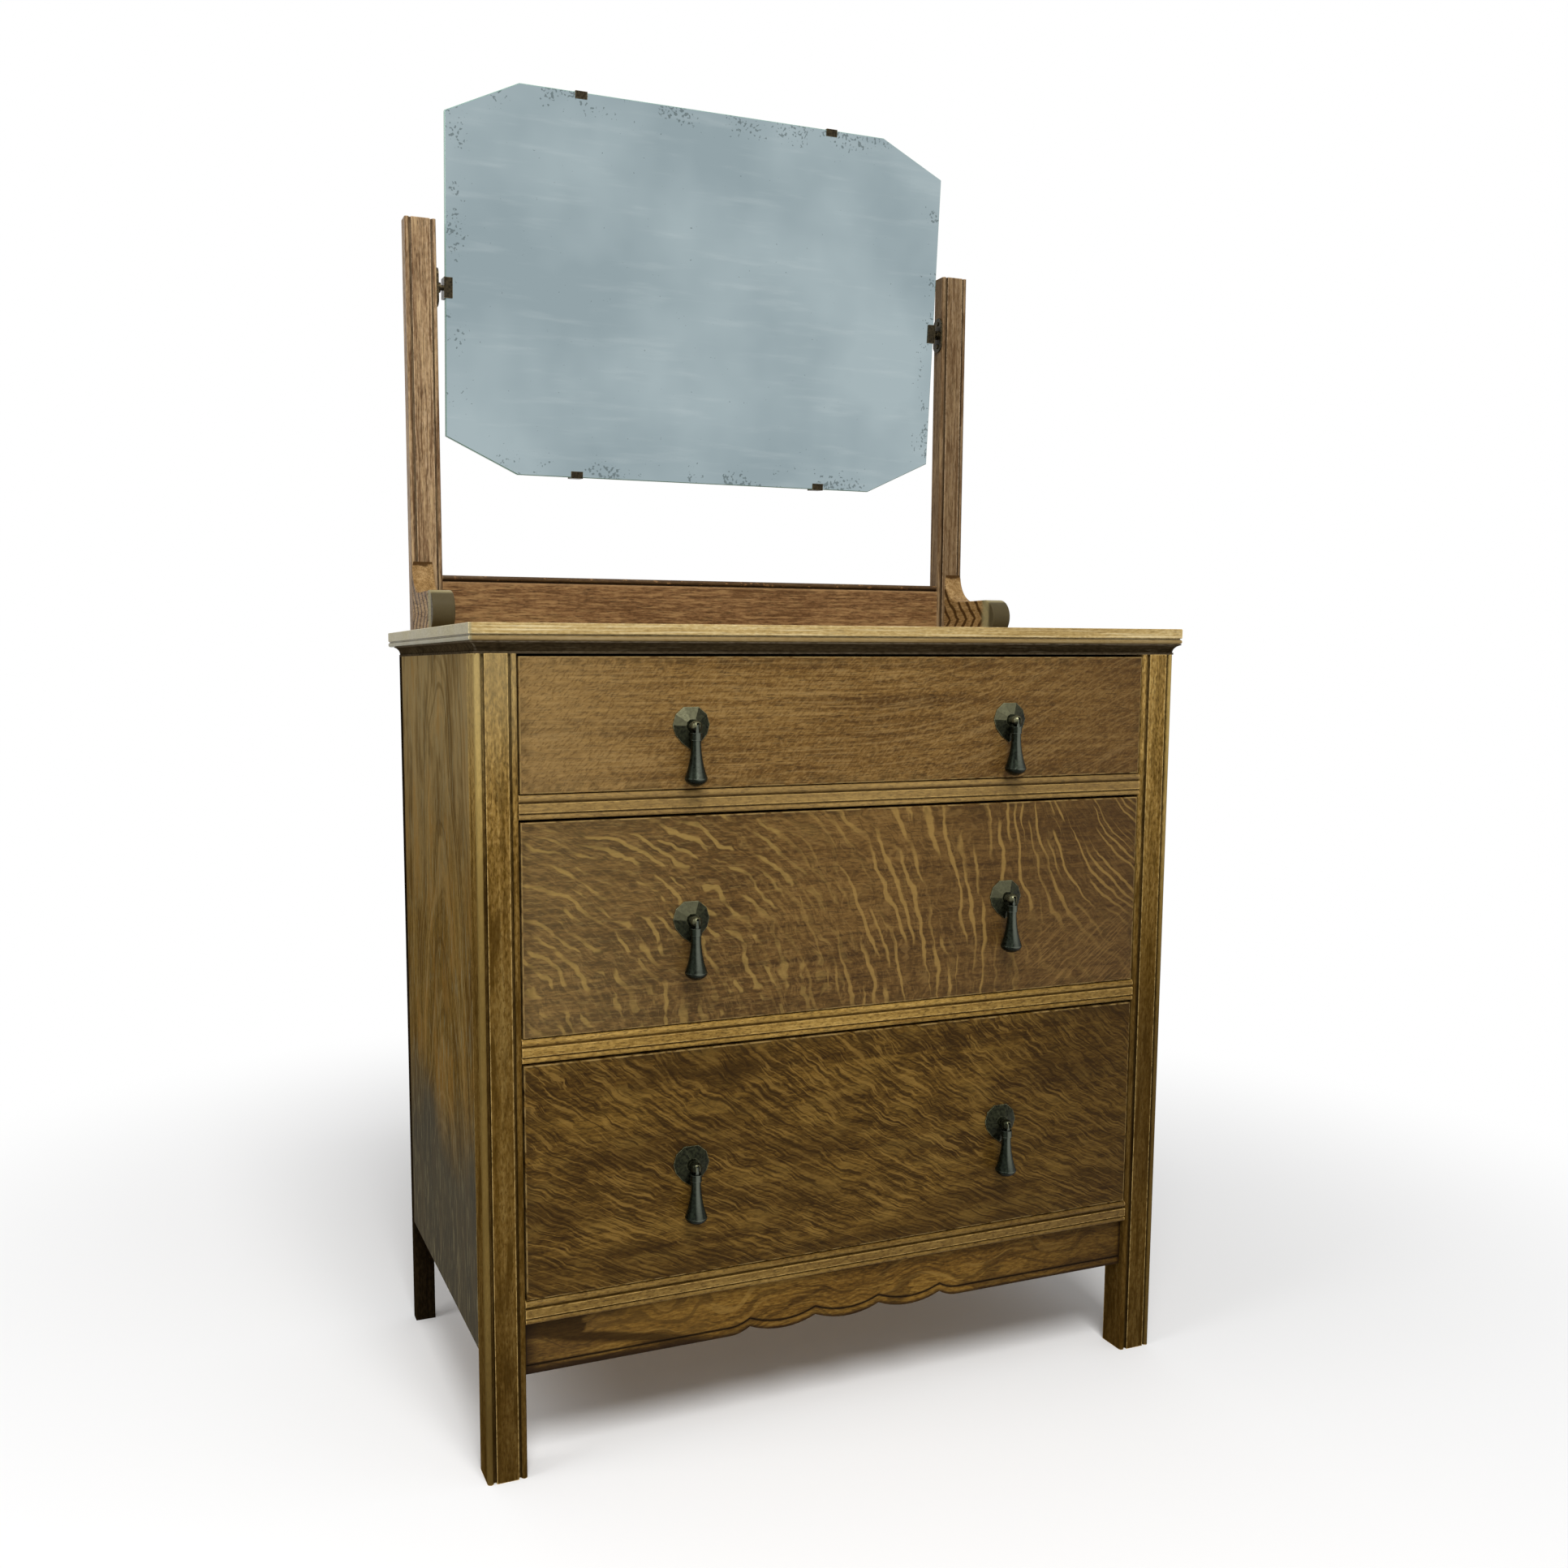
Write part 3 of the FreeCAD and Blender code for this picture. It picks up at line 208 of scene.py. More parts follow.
def oak(name, axis, tones, figure=None, pores=0.55, rough=0.42, seed=0.0, shine=0.1,
        wax_and_shade=0.6, rub_and_highlight=0.75):
    """Stained oak with its grain along one axis. The seed takes it from another part of the log."""
    material, tree, shader, place = start(name)
    board = add(tree, "Mapping", {"Vector": place, "Location": (seed, seed, seed)})
    rings = streaks(tree, board, axis, *RING, detail=5.0, warp=0.3)
    clouds = streaks(tree, board, axis, *CLOUD, detail=1.0)
    pepper = streaks(tree, board, axis, *PEPPER, detail=3.0)
    mixed = 0.0
    for pattern, weight in ((rings, 0.4), (clouds, 0.2), (pepper, 0.4)):
        mixed = add(tree, "Math", [pattern, weight, mixed], operation="MULTIPLY_ADD")
    colour = add(tree, "ValToRGB", [mixed], stops=list(zip(TONE_STOPS, tones)))
    dash = streaks(tree, board, axis, *PORE, detail=1.0)
    colour = stained(tree, colour, [(dash, *OPENS, pores, "211708")])
    if figure:
        layers = figure(tree, place, *add(tree, "SeparateXYZ", [place]).outputs)
        colour = stained(tree, colour, layers)
    if wax_and_shade:
        colour = wear_and_light(tree, colour, pepper, tones, wax_and_shade, rub_and_highlight)
    open_pore = add(tree, "MapRange", [dash, *OPENS], **SMOOTH)
    relief = add(tree, "Math", [open_pore, -2.5, rings], operation="MULTIPLY_ADD")
    bump = add(tree, "Bump", {"Height": relief, "Distance": 0.08 / MM, "Strength": 0.35})
    dull = add(tree, "Math", [clouds, open_pore], operation="ADD")
    gloss = add(tree, "MapRange", [dull, 0.3, 1.2, rough - 0.06, rough + 0.16], **SMOOTH)
    join(shader, {"Base Color": colour, "Roughness": gloss, "Normal": bump,
                  "Specular IOR Level": shine})
    return material


print("oak is ready; its pores are", PORE[0], "mm long and its rings about", RING[1], "mm apart")

# %% [markdown]
# ## Ray flecks that lean
#
# On quarter-sawn oak the rays show as pale ribbons across the grain. They lean, bend and wander
# from board to board, so the place is sheared before the pattern is drawn: the lean is the step
# to the side for each step down, and the bend makes it grow with the height. Soft noise on that
# place gives short flecks. A sine wave on it gives long ribbons at an even spacing, which a second
# noise breaks into lengths.

# %% Leaning flecks and ribbons


def sheared(tree, place, x, z, lean, level, wander, reach, bend=0.0):
    """Sideways place of a leaning mark, which wanders by some millimetres over a longer reach."""
    sway = add(tree, "TexNoise", {"Vector": place, "Scale": 1 / reach, "Detail": 3.0})
    sway = add(tree, "MapRange", [sway, 0.0, 1.0, -2 * wander, 2 * wander])
    rise = add(tree, "Math", [z, level], operation="SUBTRACT")
    growth = add(tree, "Math", [rise, bend, 1.0], operation="MULTIPLY_ADD")
    rise = add(tree, "Math", [rise, growth], operation="MULTIPLY")
    across = add(tree, "Math", [rise, lean, x], operation="MULTIPLY_ADD")
    return add(tree, "Math", [across, sway], operation="ADD")


def flecks(tree, across, z, width, length, warp=0.4):
    """Short flecks of this width and length in millimetres, from 0 to 1."""
    spot = add(tree, "CombineXYZ", [across, z])
    spot = add(tree, "Mapping", {"Vector": spot, "Scale": (1 / width, 1 / length, 1.0)})
    return add(tree, "TexNoise", {"Vector": spot, "Scale": 1.0, "Detail": 2.0, "Roughness": 0.6,
                                  "Distortion": warp})


def ribbons(tree, across, z, spacing, thin, length):
    """Long ribbons at this spacing, broken into lengths of about so many millimetres."""
    wave = add(tree, "Math", [across, 2 * pi / spacing], operation="MULTIPLY")
    wave = add(tree, "Math", [wave], operation="SINE")
    broken = flecks(tree, across, z, 1.6 * spacing, length)
    broken = add(tree, "MapRange", [broken, 0.44, 0.56], **SMOOTH)
    return add(tree, "MapRange", [wave, thin, 1.0, 0.0, broken], **SMOOTH)


for lean in (0.08, 0.9, 1.55):
    print("a lean of", lean, "is", round(degrees(atan(lean))), "degrees from upright")

# %% [markdown]
# ## The edge of a drawer front
#
# Hands and cloths have rubbed the sharp edge round each drawer front, which also carries a painted
# highlight, and dirt and painted shade lie just behind it. The distance to the nearest edge says
# where. It comes from the solid's own box, so it stays right when the chest is made to another
# size.

# %% The edge of a drawer front
drawers = ("upper", "middle", "lower")


def rim(tree, place, node):
    """Distance in millimetres from a place to the nearest edge of a node's front."""
    low, high = (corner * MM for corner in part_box(node))
    offset = add(tree, "VectorMath", [place, (low + high) / 2], operation="SUBTRACT")
    offset = add(tree, "VectorMath", [offset], operation="ABSOLUTE")
    depth = add(tree, "VectorMath", [(high - low) / 2, offset], operation="SUBTRACT")
    depth = add(tree, "SeparateXYZ", [depth]).outputs
    return add(tree, "Math", [depth["X"], depth["Z"]], operation="MINIMUM")


def front_edge_wear_and_light(tree, place, node):
    """Dirt and painted shade behind the edge, and wear and a painted highlight on the edge itself.
    """
    edge = rim(tree, place, node)
    spots = add(tree, "TexNoise", {"Vector": place, "Scale": 1 / 9.0, "Detail": 3.0})
    dirt_and_shade = add(tree, "MapRange", [spots, 0.4, 0.62, 0.0, 0.45], **SMOOTH)
    edge_rub_and_highlight = add(tree, "MapRange", [spots, 0.35, 0.6, 0.0, 0.75], **SMOOTH)
    return [(edge, 14.0, 2.0, dirt_and_shade, "35260f"), (edge, 1.6, 0.5, edge_rub_and_highlight, "957b4b")]


for name in drawers:
    low, high = (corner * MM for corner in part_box(name + "_drawer_front"))
    print(name, "front is", round(high.x - low.x), "by", round(high.z - low.z), "mm")

# %% [markdown]
# ## Upper drawer front
#
# This front is quarter-sawn oak with hardly any ray in it: planed, stained and varnished, it shows
# the eye fine lines that lie level on the left and rise to the right, and a fine pepper of tiny
# flecks. The left end has faded.

# %% Plain front with rising lines


def upper_figure(tree, place, x, y, z):
    rise = add(tree, "MapRange", [x, -60.0, 330.0, 0.0, -0.32], **SMOOTH)
    level = add(tree, "Math", [rise, x, z], operation="MULTIPLY_ADD")
    lines = flecks(tree, level, x, width=2.6, length=90.0, warp=0.0)
    across = sheared(tree, place, x, z, lean=-0.9, level=700.0, wander=3.0, reach=30.0)
    small = flecks(tree, across, z, width=2.6, length=4.6)
    return [(lines, 0.5, 0.66, 0.45, "8c7044"), (lines, 0.45, 0.34, 0.4, "3f2a12"),
            (x, -150.0, -340.0, 0.4, "957a4d"), (small, 0.47, 0.37, 0.42, "40290f"),
            (small, 0.53, 0.64, 0.32, "8e7247"), (x, 60.0, 345.0, 0.38, "412b14"),
            *front_edge_wear_and_light(tree, place, "upper_drawer_front")]


upper_oak = oak("quarter_sawn_oak_plain", "X", ("493214", "674b23", "7f6235"), upper_figure,
                pores=0.6, seed=11.0, wax_and_shade=0.0)
finish_with(upper_oak, "upper_drawer_front")

# %% [markdown]
# ## Curls and dashes
#
# The middle front is the show board: quarter-sawn oak with bold golden rays. On its left half they
# break up into short curls, some thick and some sparse, between level dashes of light and dark.

# %% Left half of the middle front
# Spacing of the rays in millimetres, on the left and on the right half.
CURL, FLAME = 19.0, 13.0


def curls(tree, place, x, z, lean):
    """Small flecks, level dashes and short curls, which fade out towards the right."""
    curled = sheared(tree, place, x, z, lean, level=520.0, wander=13.0, reach=45.0, bend=0.003)
    short = ribbons(tree, curled, z, CURL, thin=0.1, length=26.0)
    small = flecks(tree, curled, z, width=5.0, length=14.0, warp=1.2)
    dashes = streaks(tree, place, "X", 18.0, 3.0, detail=3.0)
    faint = add(tree, "MapRange", [x, 20.0, -150.0, 0.0, 0.3], **SMOOTH)
    inked = add(tree, "MapRange", [x, 20.0, -150.0, 0.0, 0.62], **SMOOTH)
    left = add(tree, "MapRange", [x, 40.0, -120.0, 0.0, 0.55], **SMOOTH)
    sparse = add(tree, "TexNoise", {"Vector": place, "Scale": 1 / 55.0, "Detail": 1.0})
    left = add(tree, "MapRange", [sparse, 0.37, 0.55, 0.1, left], **SMOOTH)
    return [(small, 0.45, 0.36, 0.5, "3d2a11"), (small, 0.54, 0.64, 0.35, "7d6136"),
            (dashes, 0.48, 0.37, inked, "3d2c11"), (dashes, 0.53, 0.66, faint, "8a7140"),
            (x, -100.0, -330.0, 0.1, "8f8058"), (short, 0.0, 1.0, left, "9a7e44")]


print("curls are", CURL, "mm apart, and the flames to their right", FLAME, "mm")

# %% [markdown]
# ## Flames
#
# On the right half the rays are tall flames, on wood that the stain has darkened. Below the right
# handle they fade, and fine lines rise to the right instead. So the strength of the flames is
# first a function of x, and past the handle one of z.

# %% Right half of the middle front
# The stretch of x, from the right handle on, over which z takes over from x.
PAST_HANDLE = (150.0, 230.0)


def flames(tree, place, x, z, lean):
    """Tall ribbons, which give way to fine rising lines in the lower right corner."""
    across = sheared(tree, place, x, z, lean, level=520.0, wander=8.0, reach=50.0, bend=0.002)
    tall = ribbons(tree, across, z, FLAME, thin=0.05, length=110.0)
    right = add(tree, "MapRange", [x, -110.0, 30.0, 0.12, 0.62], **SMOOTH)
    below = add(tree, "MapRange", [z, 450.0, 540.0, 0.12, 0.62], **SMOOTH)
    right = add(tree, "MapRange", [x, *PAST_HANDLE, right, below], **SMOOTH)
    rising = sheared(tree, place, x, z, lean=-1.3, level=470.0, wander=4.0, reach=30.0)
    rising = flecks(tree, rising, z, width=3.0, length=22.0)
    corner = add(tree, "MapRange", [z, 530.0, 460.0, 0.0, 0.4], **SMOOTH)
    corner = add(tree, "MapRange", [x, *PAST_HANDLE, 0.0, corner], **SMOOTH)
    return [(x, -20.0, 220.0, 0.36, "38250f"), (tall, 0.0, 1.0, right, "94763f"),
            (rising, 0.51, 0.6, corner, "856639"), (x, 200.0, 345.0, 0.15, "3d2a11")]


print("below the handle the flames fade between x =", PAST_HANDLE[0], "and", PAST_HANDLE[1], "mm")

# %% [markdown]
# ## Middle drawer front
#
# The rays stand upright near the right handle and lean more and more towards both ends, so the
# lean is a function of the place along the board, not one number. Near the right end they fan out
# further still.

# %% Front with golden flames
UPRIGHT_AT = 150.0


def middle_figure(tree, place, x, y, z):
    away = add(tree, "Math", [x, UPRIGHT_AT], operation="SUBTRACT")
    away = add(tree, "Math", [away], operation="ABSOLUTE")
    lean = add(tree, "Math", [away, 0.0027, 0.08], operation="MULTIPLY_ADD")
    fan = add(tree, "MapRange", [x, 170.0, 345.0, 0.0, 0.7], **SMOOTH)
    lean = add(tree, "Math", [lean, fan], operation="ADD")
    return [*curls(tree, place, x, z, lean), *flames(tree, place, x, z, lean),
            *front_edge_wear_and_light(tree, place, "middle_drawer_front")]


# Its tones are darker than the upper front's, partly as painted shade lower on the chest.
middle_oak = oak("quarter_sawn_oak_flamed", "X", ("3d2911", "59401e", "6d5129"), middle_figure,
                 pores=0.5, seed=37.0, wax_and_shade=0.0)
finish_with(middle_oak, "middle_drawer_front")

# %% [markdown]
# ## Lower drawer front
#
# Quarter-sawn oak again, from a darker board that took more stain, and its tones are darker still
# with painted shade, low on the chest. To the eye it is a dark ground full of short slanting
# flecks, which lie flatter towards the bottom, with dark clouds of stain between them.

# %% Dark front with slanting flecks


def lower_figure(tree, place, x, y, z):
    across = sheared(tree, place, x, z, lean=1.55, level=290.0, wander=7.0, reach=32.0,
                     bend=-0.0015)
    dense = flecks(tree, across, z, width=5.5, length=26.0, warp=0.8)
    patches = streaks(tree, place, "X", 170.0, 60.0)
    clouds = streaks(tree, place, "X", 55.0, 20.0, detail=3.0)
    full = add(tree, "MapRange", [patches, 0.62, 0.42, 0.25, 0.6], **SMOOTH)
    return [(patches, 0.5, 0.66, 0.5, "3a270b"), (clouds, 0.5, 0.64, 0.45, "33230a"),
            (clouds, 0.5, 0.36, 0.3, "7a5f2b"), (dense, 0.48, 0.36, 0.74, "281906"),
            (dense, 0.52, 0.64, full, "836530"), (x, 60.0, 345.0, 0.45, "2a1b08"),
            *front_edge_wear_and_light(tree, place, "lower_drawer_front")]


lower_oak = oak("quarter_sawn_oak_dark", "X", ("332109", "503914", "694e1f"), lower_figure,
                pores=0.5, seed=71.0, shine=0.05, wax_and_shade=0.0)
finish_with(lower_oak, "lower_drawer_front")

# %% [markdown]
# ## Posts
#
# The posts are plain-sawn oak with upright grain, as a joiner cuts them. To the eye they are a
# golden mottle, with painted shade towards the floor and on the right post, away from the window,
# and darker feet. The bead down each outer corner was rubbed pale and carries a painted highlight,
# and old wax and painted shade fill the quirk beside it. Hands have taken the gloss off, so the
# shine is off too.

# %% Mottled golden posts
post_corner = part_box("front_post_left")[0] * MM


def mottled(tree, place, axis):
    """Dark wax and pale flecks between it, a little longer along the grain."""
    spots = streaks(tree, place, axis, 5.5, 2.2, detail=4.0)
    return [(spots, 0.47, 0.35, 0.6, "3e2b0f"), (spots, 0.52, 0.66, 0.5, "987a3c")]


def post_figure(tree, place, x, y, z):
    """Mottle, smears, the rubbed bead with a painted highlight, faded tops, painted shade lower
    down, darker feet, a painted-shade right post.
    """
    face, side = post_corner.y, -post_corner.x
    outwards = add(tree, "Math", [x], operation="ABSOLUTE")
    bead = add(tree, "MapRange", [y, face + 7.0, face + 4.0, 0.0, 0.65], **SMOOTH)
    smears = streaks(tree, place, "Z", 60.0, 9.0, detail=3.0)
    darkening = add(tree, "MapRange", [z, 780.0, 500.0, 0.15, 0.7], **SMOOTH)
    shaded = add(tree, "MapRange", [z, 120.0, 220.0, 0.1, 0.5], **SMOOTH)
    shaded = add(tree, "MapRange", [z, 480.0, 340.0, 0.0, shaded], **SMOOTH)
    faded = add(tree, "MapRange", [x, 100.0, -100.0, 0.05, 0.4], **SMOOTH)
    # The pale bead is wear and a painted highlight; the layer from z 740 to 420 and the last layer
    # are painted shade.
    return [*mottled(tree, place, "Z"), (smears, 0.5, 0.36, darkening, "37260b"),
            (outwards, side - 6.5, side - 3.5, bead, "a89055"), (z, 620.0, 760.0, faded, "9a8a62"),
            (z, 740.0, 420.0, 0.68, "3f2b09"), (z, 260.0, 60.0, 0.42, "2b1c07"),
            (x, -340.0, 340.0, shaded, "2b1c0a")]


post_oak = oak("plain_sawn_oak_posts", "Z", ("5c4419", "8a6c38", "b09255"), post_figure,
               seed=5.0, shine=0.0)
finish_with(post_oak, "front_post_left", "front_post_right")

# %% [markdown]
# ## Rails
#
# The rails between the drawers are the same plain-sawn oak with level grain. Every opened drawer
# brushes past them, so they are paler than the posts, with less wax and painted shade beside their
# beads. Painted shade makes the bottom rail darker, the upper one greyer and the right ends, away
# from the window, darker, the lower ones most.

# %% Pale rails


def rail_figure(tree, place, x, y, z):
    """Mottle, and painted shade: a darker bottom rail, a greyer upper one and darker right ends."""
    # Painted shade that grows towards the right ends, stronger on the lower rails.
    dark_strength = add(tree, "MapRange", [z, 600.0, 460.0, 0.12, 0.42], **SMOOTH)
    return [*mottled(tree, place, "X"), (z, 400.0, 180.0, 0.42, "3c2a0e"),
            (z, 560.0, 640.0, 0.5, "705c3e"), (x, 40.0, 330.0, dark_strength, "3a270d")]


rail_oak = oak("plain_sawn_oak_rails", "X", ("6c5020", "8d6f35", "a88849"), rail_figure,
               seed=23.0, wax_and_shade=0.12)
finish_with(rail_oak, "drawer_rail_upper", "drawer_rail_lower", "bottom_rail")

# %% [markdown]
# ## Marks of the apron
#
# The apron was fretsawn from a plain-sawn board. Near the left leg a dark ring runs down to the
# edge under a pale stretch, which ends at a ragged step. Painted shade darkens the sawn edge and
# the line cut beside it, and a strip beside the left leg. An Ambient Occlusion node that looks
# inwards finds the edge and the line, as it did for the rubbed edges.

# %% Marks of the apron
# The tint of the painted shade at the sawn edge and beside the left leg.
PAINTED_SHADE = "20140a"
# The pale stretch begins between these two places, once x has been made ragged.
STEP_AT = (-274.0, -267.0)
SAWN_REACH = 4.5


def left_end(tree, place, x, z, waves):
    """The pale stretch, its step, the dark ring that slopes down under it to the left leg, and
    painted shade beside the leg.
    """
    slope = add(tree, "Math", [x, 0.21, z], operation="MULTIPLY_ADD")
    slope = add(tree, "Math", [waves, 16.0, slope], operation="MULTIPLY_ADD")
    ragged = add(tree, "TexNoise", {"Vector": place, "Scale": 1 / 8.0, "Detail": 2.0})
    ragged = add(tree, "Math", [ragged, 16.0, x], operation="MULTIPLY_ADD")
    pale = add(tree, "MapRange", [slope, 79.0, 83.0], **SMOOTH)
    pale = add(tree, "MapRange", [ragged, *STEP_AT, 0.0, pale], **SMOOTH)
    dark = add(tree, "Math", [pale, -0.85, 0.85], operation="MULTIPLY_ADD")
    dark = add(tree, "MapRange", [x, -130.0, -200.0, 0.0, dark], **SMOOTH)
    pale = add(tree, "MapRange", [x, -120.0, -170.0, 0.0, pale], **SMOOTH)
    return [(pale, 0.0, 1.0, 0.2, "745727"), (x, -230.0, -290.0, 0.35, "3e301f"),
            (slope, 68.0, 74.0, dark, "271907"), (x, -320.0, -334.0, 0.6, PAINTED_SHADE)]


def sawn_edge(tree, x, z):
    """Painted shade on the sawn edge and in the line beside it, and more of it at the left."""
    sawn = add(tree, "AmbientOcclusion", {"Distance": SAWN_REACH / MM}, inside=True, **NEARBY)
    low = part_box("apron")[0].z * MM
    darkening = add(tree, "MapRange", [x, -135.0, -170.0, 0.0, 0.8], **SMOOTH)
    return [(sawn.outputs["AO"], 0.98, 0.7, 0.85, PAINTED_SHADE), (z, low + 8.5, low + 5.0, darkening, PAINTED_SHADE)]


# The dark that reaches in from the sawn edge is painted shade.
print("dirt reaches", SAWN_REACH, "mm in from the sawn edge")

# %% [markdown]
# ## Apron
#
# A plain-sawn board is cut beside the heart of the log, so its rings are wide and wavy. To the eye
# the apron is a brown board with dark and light waves, and it darkens towards its right end.

# %% Wavy apron


def apron_figure(tree, place, x, y, z):
    waves = add(tree, "TexNoise", {"Vector": place, "Scale": 1 / 90.0, "Detail": 2.0})
    level = add(tree, "Math", [waves, 90.0, z], operation="MULTIPLY_ADD")
    rings = flecks(tree, level, x, width=6.0, length=150.0)
    bold = flecks(tree, level, x, width=14.0, length=70.0, warp=0.8)
    return [(rings, 0.46, 0.36, 0.5, "2f1f0b"), (rings, 0.55, 0.65, 0.35, "8d6f38"),
            (bold, 0.45, 0.38, 0.5, "2c1c0a"), *left_end(tree, place, x, z, waves),
            (x, 120.0, 330.0, 0.55, "281a08"), *sawn_edge(tree, x, z)]


apron_oak = oak("plain_sawn_oak_apron", "X", ("4a3312", "66491c", "7f6029"), apron_figure,
                seed=41.0, shine=0.04, wax_and_shade=0.9, rub_and_highlight=0.0)
finish_with(apron_oak, "apron")

# %% [markdown]
# ## Side panels
#
# Each side is a wide plain-sawn panel with upright grain. Its rings meet in tall arches, which
# joiners call cathedrals: the height plus the square of the distance from the middle draws them.
# The varnish here is dull. Damp has turned the stain cold and grey in the lower third of the left
# side, and hardly at all on the right.

# %% Side panels with a grey foot


def side_figure(tree, place, x, y, z):
    """Arches round a line 30 mm in front of the middle, blotches, scuffs and the damp foot."""
    sway = add(tree, "TexNoise", {"Vector": place, "Scale": 1 / 140.0, "Detail": 1.0})
    arch = add(tree, "Math", [y, 30.0], operation="ADD")
    arch = add(tree, "Math", [arch, arch], operation="MULTIPLY")
    arch = add(tree, "Math", [arch, 0.024, z], operation="MULTIPLY_ADD")
    arch = add(tree, "Math", [sway, 240.0, arch], operation="MULTIPLY_ADD")
    bands = flecks(tree, arch, y, width=30.0, length=500.0, warp=0.2)
    blotch = streaks(tree, place, "Z", 90.0, 30.0, detail=3.0)
    scuffs = streaks(tree, place, "Z", 35.0, 4.0, detail=3.0, warp=0.6)
    foot = add(tree, "Math", [sway, 160.0, z], operation="MULTIPLY_ADD")
    damp = add(tree, "MapRange", [x, 10.0, -10.0, 0.22, 0.85], **SMOOTH)
    return [(foot, 560.0, 820.0, 0.75, "8f7b54"), (blotch, 0.5, 0.36, 0.5, "452f11"),
            (blotch, 0.52, 0.66, 0.42, "85622f"), (bands, 0.46, 0.36, 0.45, "453011"),
            (bands, 0.55, 0.63, 0.35, "93784a"), (foot, 440.0, 310.0, damp, "44423a"),
            (scuffs, 0.53, 0.66, 0.42, "7f7659"), (y, 150.0, 168.0, 0.6, "2d2313")]


side_oak = oak("plain_sawn_oak_side", "Z", ("4f3c1a", "685026", "7b6335"), side_figure,
               pores=0.5, rough=0.6, seed=53.0, shine=0.0, wax_and_shade=0.0)
finish_with(side_oak, "side_panel_left", "side_panel_right")

# %% [markdown]
# ## Rear legs
#
# Nobody polished the rear legs. They are the same oak, nearly black and without any gloss.

# %% Rear legs
leg_oak = oak("near_black_oak_rear_leg", "Z", ("0f0b05", "1a130a", "281f12"), pores=0.3, rough=0.6,
              seed=61.0, shine=0.0, wax_and_shade=0.0)
finish_with(leg_oak, "rear_post_left", "rear_post_right")

# %% [markdown]
# ## Top board
#
# The top is plain-sawn oak that was cleaned more often than the rest, so its varnish has gone to
# pale straw, and its front edge is the brightest wood on the chest. The groove under that edge is
# darker and brown. The left edge has greyed.

# %% Straw-coloured top
top_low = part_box("top_board")[0] * MM


def top_figure(tree, place, x, y, z):
    fine = streaks(tree, place, "X", 120.0, 1.8, detail=3.0)
    return [(fine, 0.44, 0.32, 0.5, "8a7344"), (fine, 0.52, 0.68, 0.6, "d8c79c"),
            (z, top_low.z + 6.2, top_low.z + 4.6, 0.75, "6b5632"),
            (x, top_low.x + 4.0, top_low.x + 1.0, 0.6, "85866e")]


top_oak = oak("plain_sawn_oak_top", "X", ("8f7646", "a88f5c", "c1ac7c"), top_figure, pores=0.35,
              rough=0.35, seed=83.0, wax_and_shade=0.5)
finish_with(top_oak, "top_board")

# %% [markdown]
# ## Moulding under the top
#
# The hollow moulding was run with a plane and stained, and it has never been rubbed since. It faces
# down under the top, and dark stain with painted shade makes it nearly black, with a few grey
# streaks of dust.

# %% Dark hollow moulding


def cove_figure(tree, place, x, y, z):
    window_light = streaks(tree, place, "X", 30.0, 2.0, detail=3.0)
    return [(window_light, 0.55, 0.7, 0.4, "5f5644")]


cove_oak = oak("stained_oak_cove_with_painted_shade", "X", ("231b0f", "33291a", "413624"), cove_figure, pores=0.2,
               rough=0.5, seed=97.0, shine=0.0)
finish_with(cove_oak, "top_frame_front", "top_frame_left", "top_frame_right")

# %% [markdown]
# ## Mirror standards
#
# The standards are plain-sawn oak from a redder board. To the eye they are streaky: brown lines
# and straw lines some centimetres long, rubbed pale along the bead, where a painted highlight lies
# too. The right standard is darker with painted shade.

# %% Streaky standards


def standard_figure(tree, place, x, y, z):
    lines = streaks(tree, place, "Z", 70.0, 3.0, detail=3.0, warp=0.8)
    # The last layer paints shade on the right standard.
    return [(lines, 0.47, 0.38, 0.75, "4b321d"), (lines, 0.54, 0.66, 0.6, "b0966f"),
            (x, -340.0, 340.0, 0.5, "4a3720")]


standard_oak = oak("plain_sawn_oak_standards", "Z", ("735a40", "8f7657", "a58d6f"), standard_figure,
                   seed=7.0, shine=0.05)
finish_with(standard_oak, "mirror_standard_left", "mirror_standard_right")

# %% [markdown]
# ## Mirror rail
#
# The rail between the standards is the same reddish oak with level grain. The top of its bead is
# black with old polish, which has chipped off in places, and a pale line shows under it.

# %% Rail with a chipped bead


def mirror_rail_figure(tree, place, x, y, z):
    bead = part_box("mirror_rail")[1].z * MM - 6.0
    lines = streaks(tree, place, "X", 26.0, 2.4, detail=3.0)
    chips = streaks(tree, place, "X", 7.0, 5.0)
    dark_strength = add(tree, "MapRange", [chips, 0.66, 0.6, 0.0, 0.75], **SMOOTH)
    under = add(tree, "Math", [z, bead - 2.2], operation="SUBTRACT")
    under = add(tree, "Math", [under], operation="ABSOLUTE")
    return [(lines, 0.47, 0.37, 0.6, "4b3017"), (lines, 0.53, 0.65, 0.6, "9a794f"),
            (under, 2.0, 0.4, 0.4, "a3835b"), (z, bead - 0.6, bead + 0.6, dark_strength, "2f2417")]


mirror_rail_oak = oak("plain_sawn_oak_mirror_rail", "X", ("5a3f24", "775737", "8c6d46"),
                      mirror_rail_figure, seed=19.0)
finish_with(mirror_rail_oak, "mirror_rail")

# %% [markdown]
# ## Bracket feet of the mirror
#
# Each bracket foot was bandsawn from a board whose rings meet in chevrons, and its round toe has
# darkened. The chevrons are a sine wave along the foot, pushed back by the distance from a middle
# line, so that each ring becomes a V. The foot tapers to nothing, which would look like an edge to
# the helper for rubbed edges and their painted highlight, so both are turned off.

# %% Bracket feet with chevrons
CHEVRON = 19.0


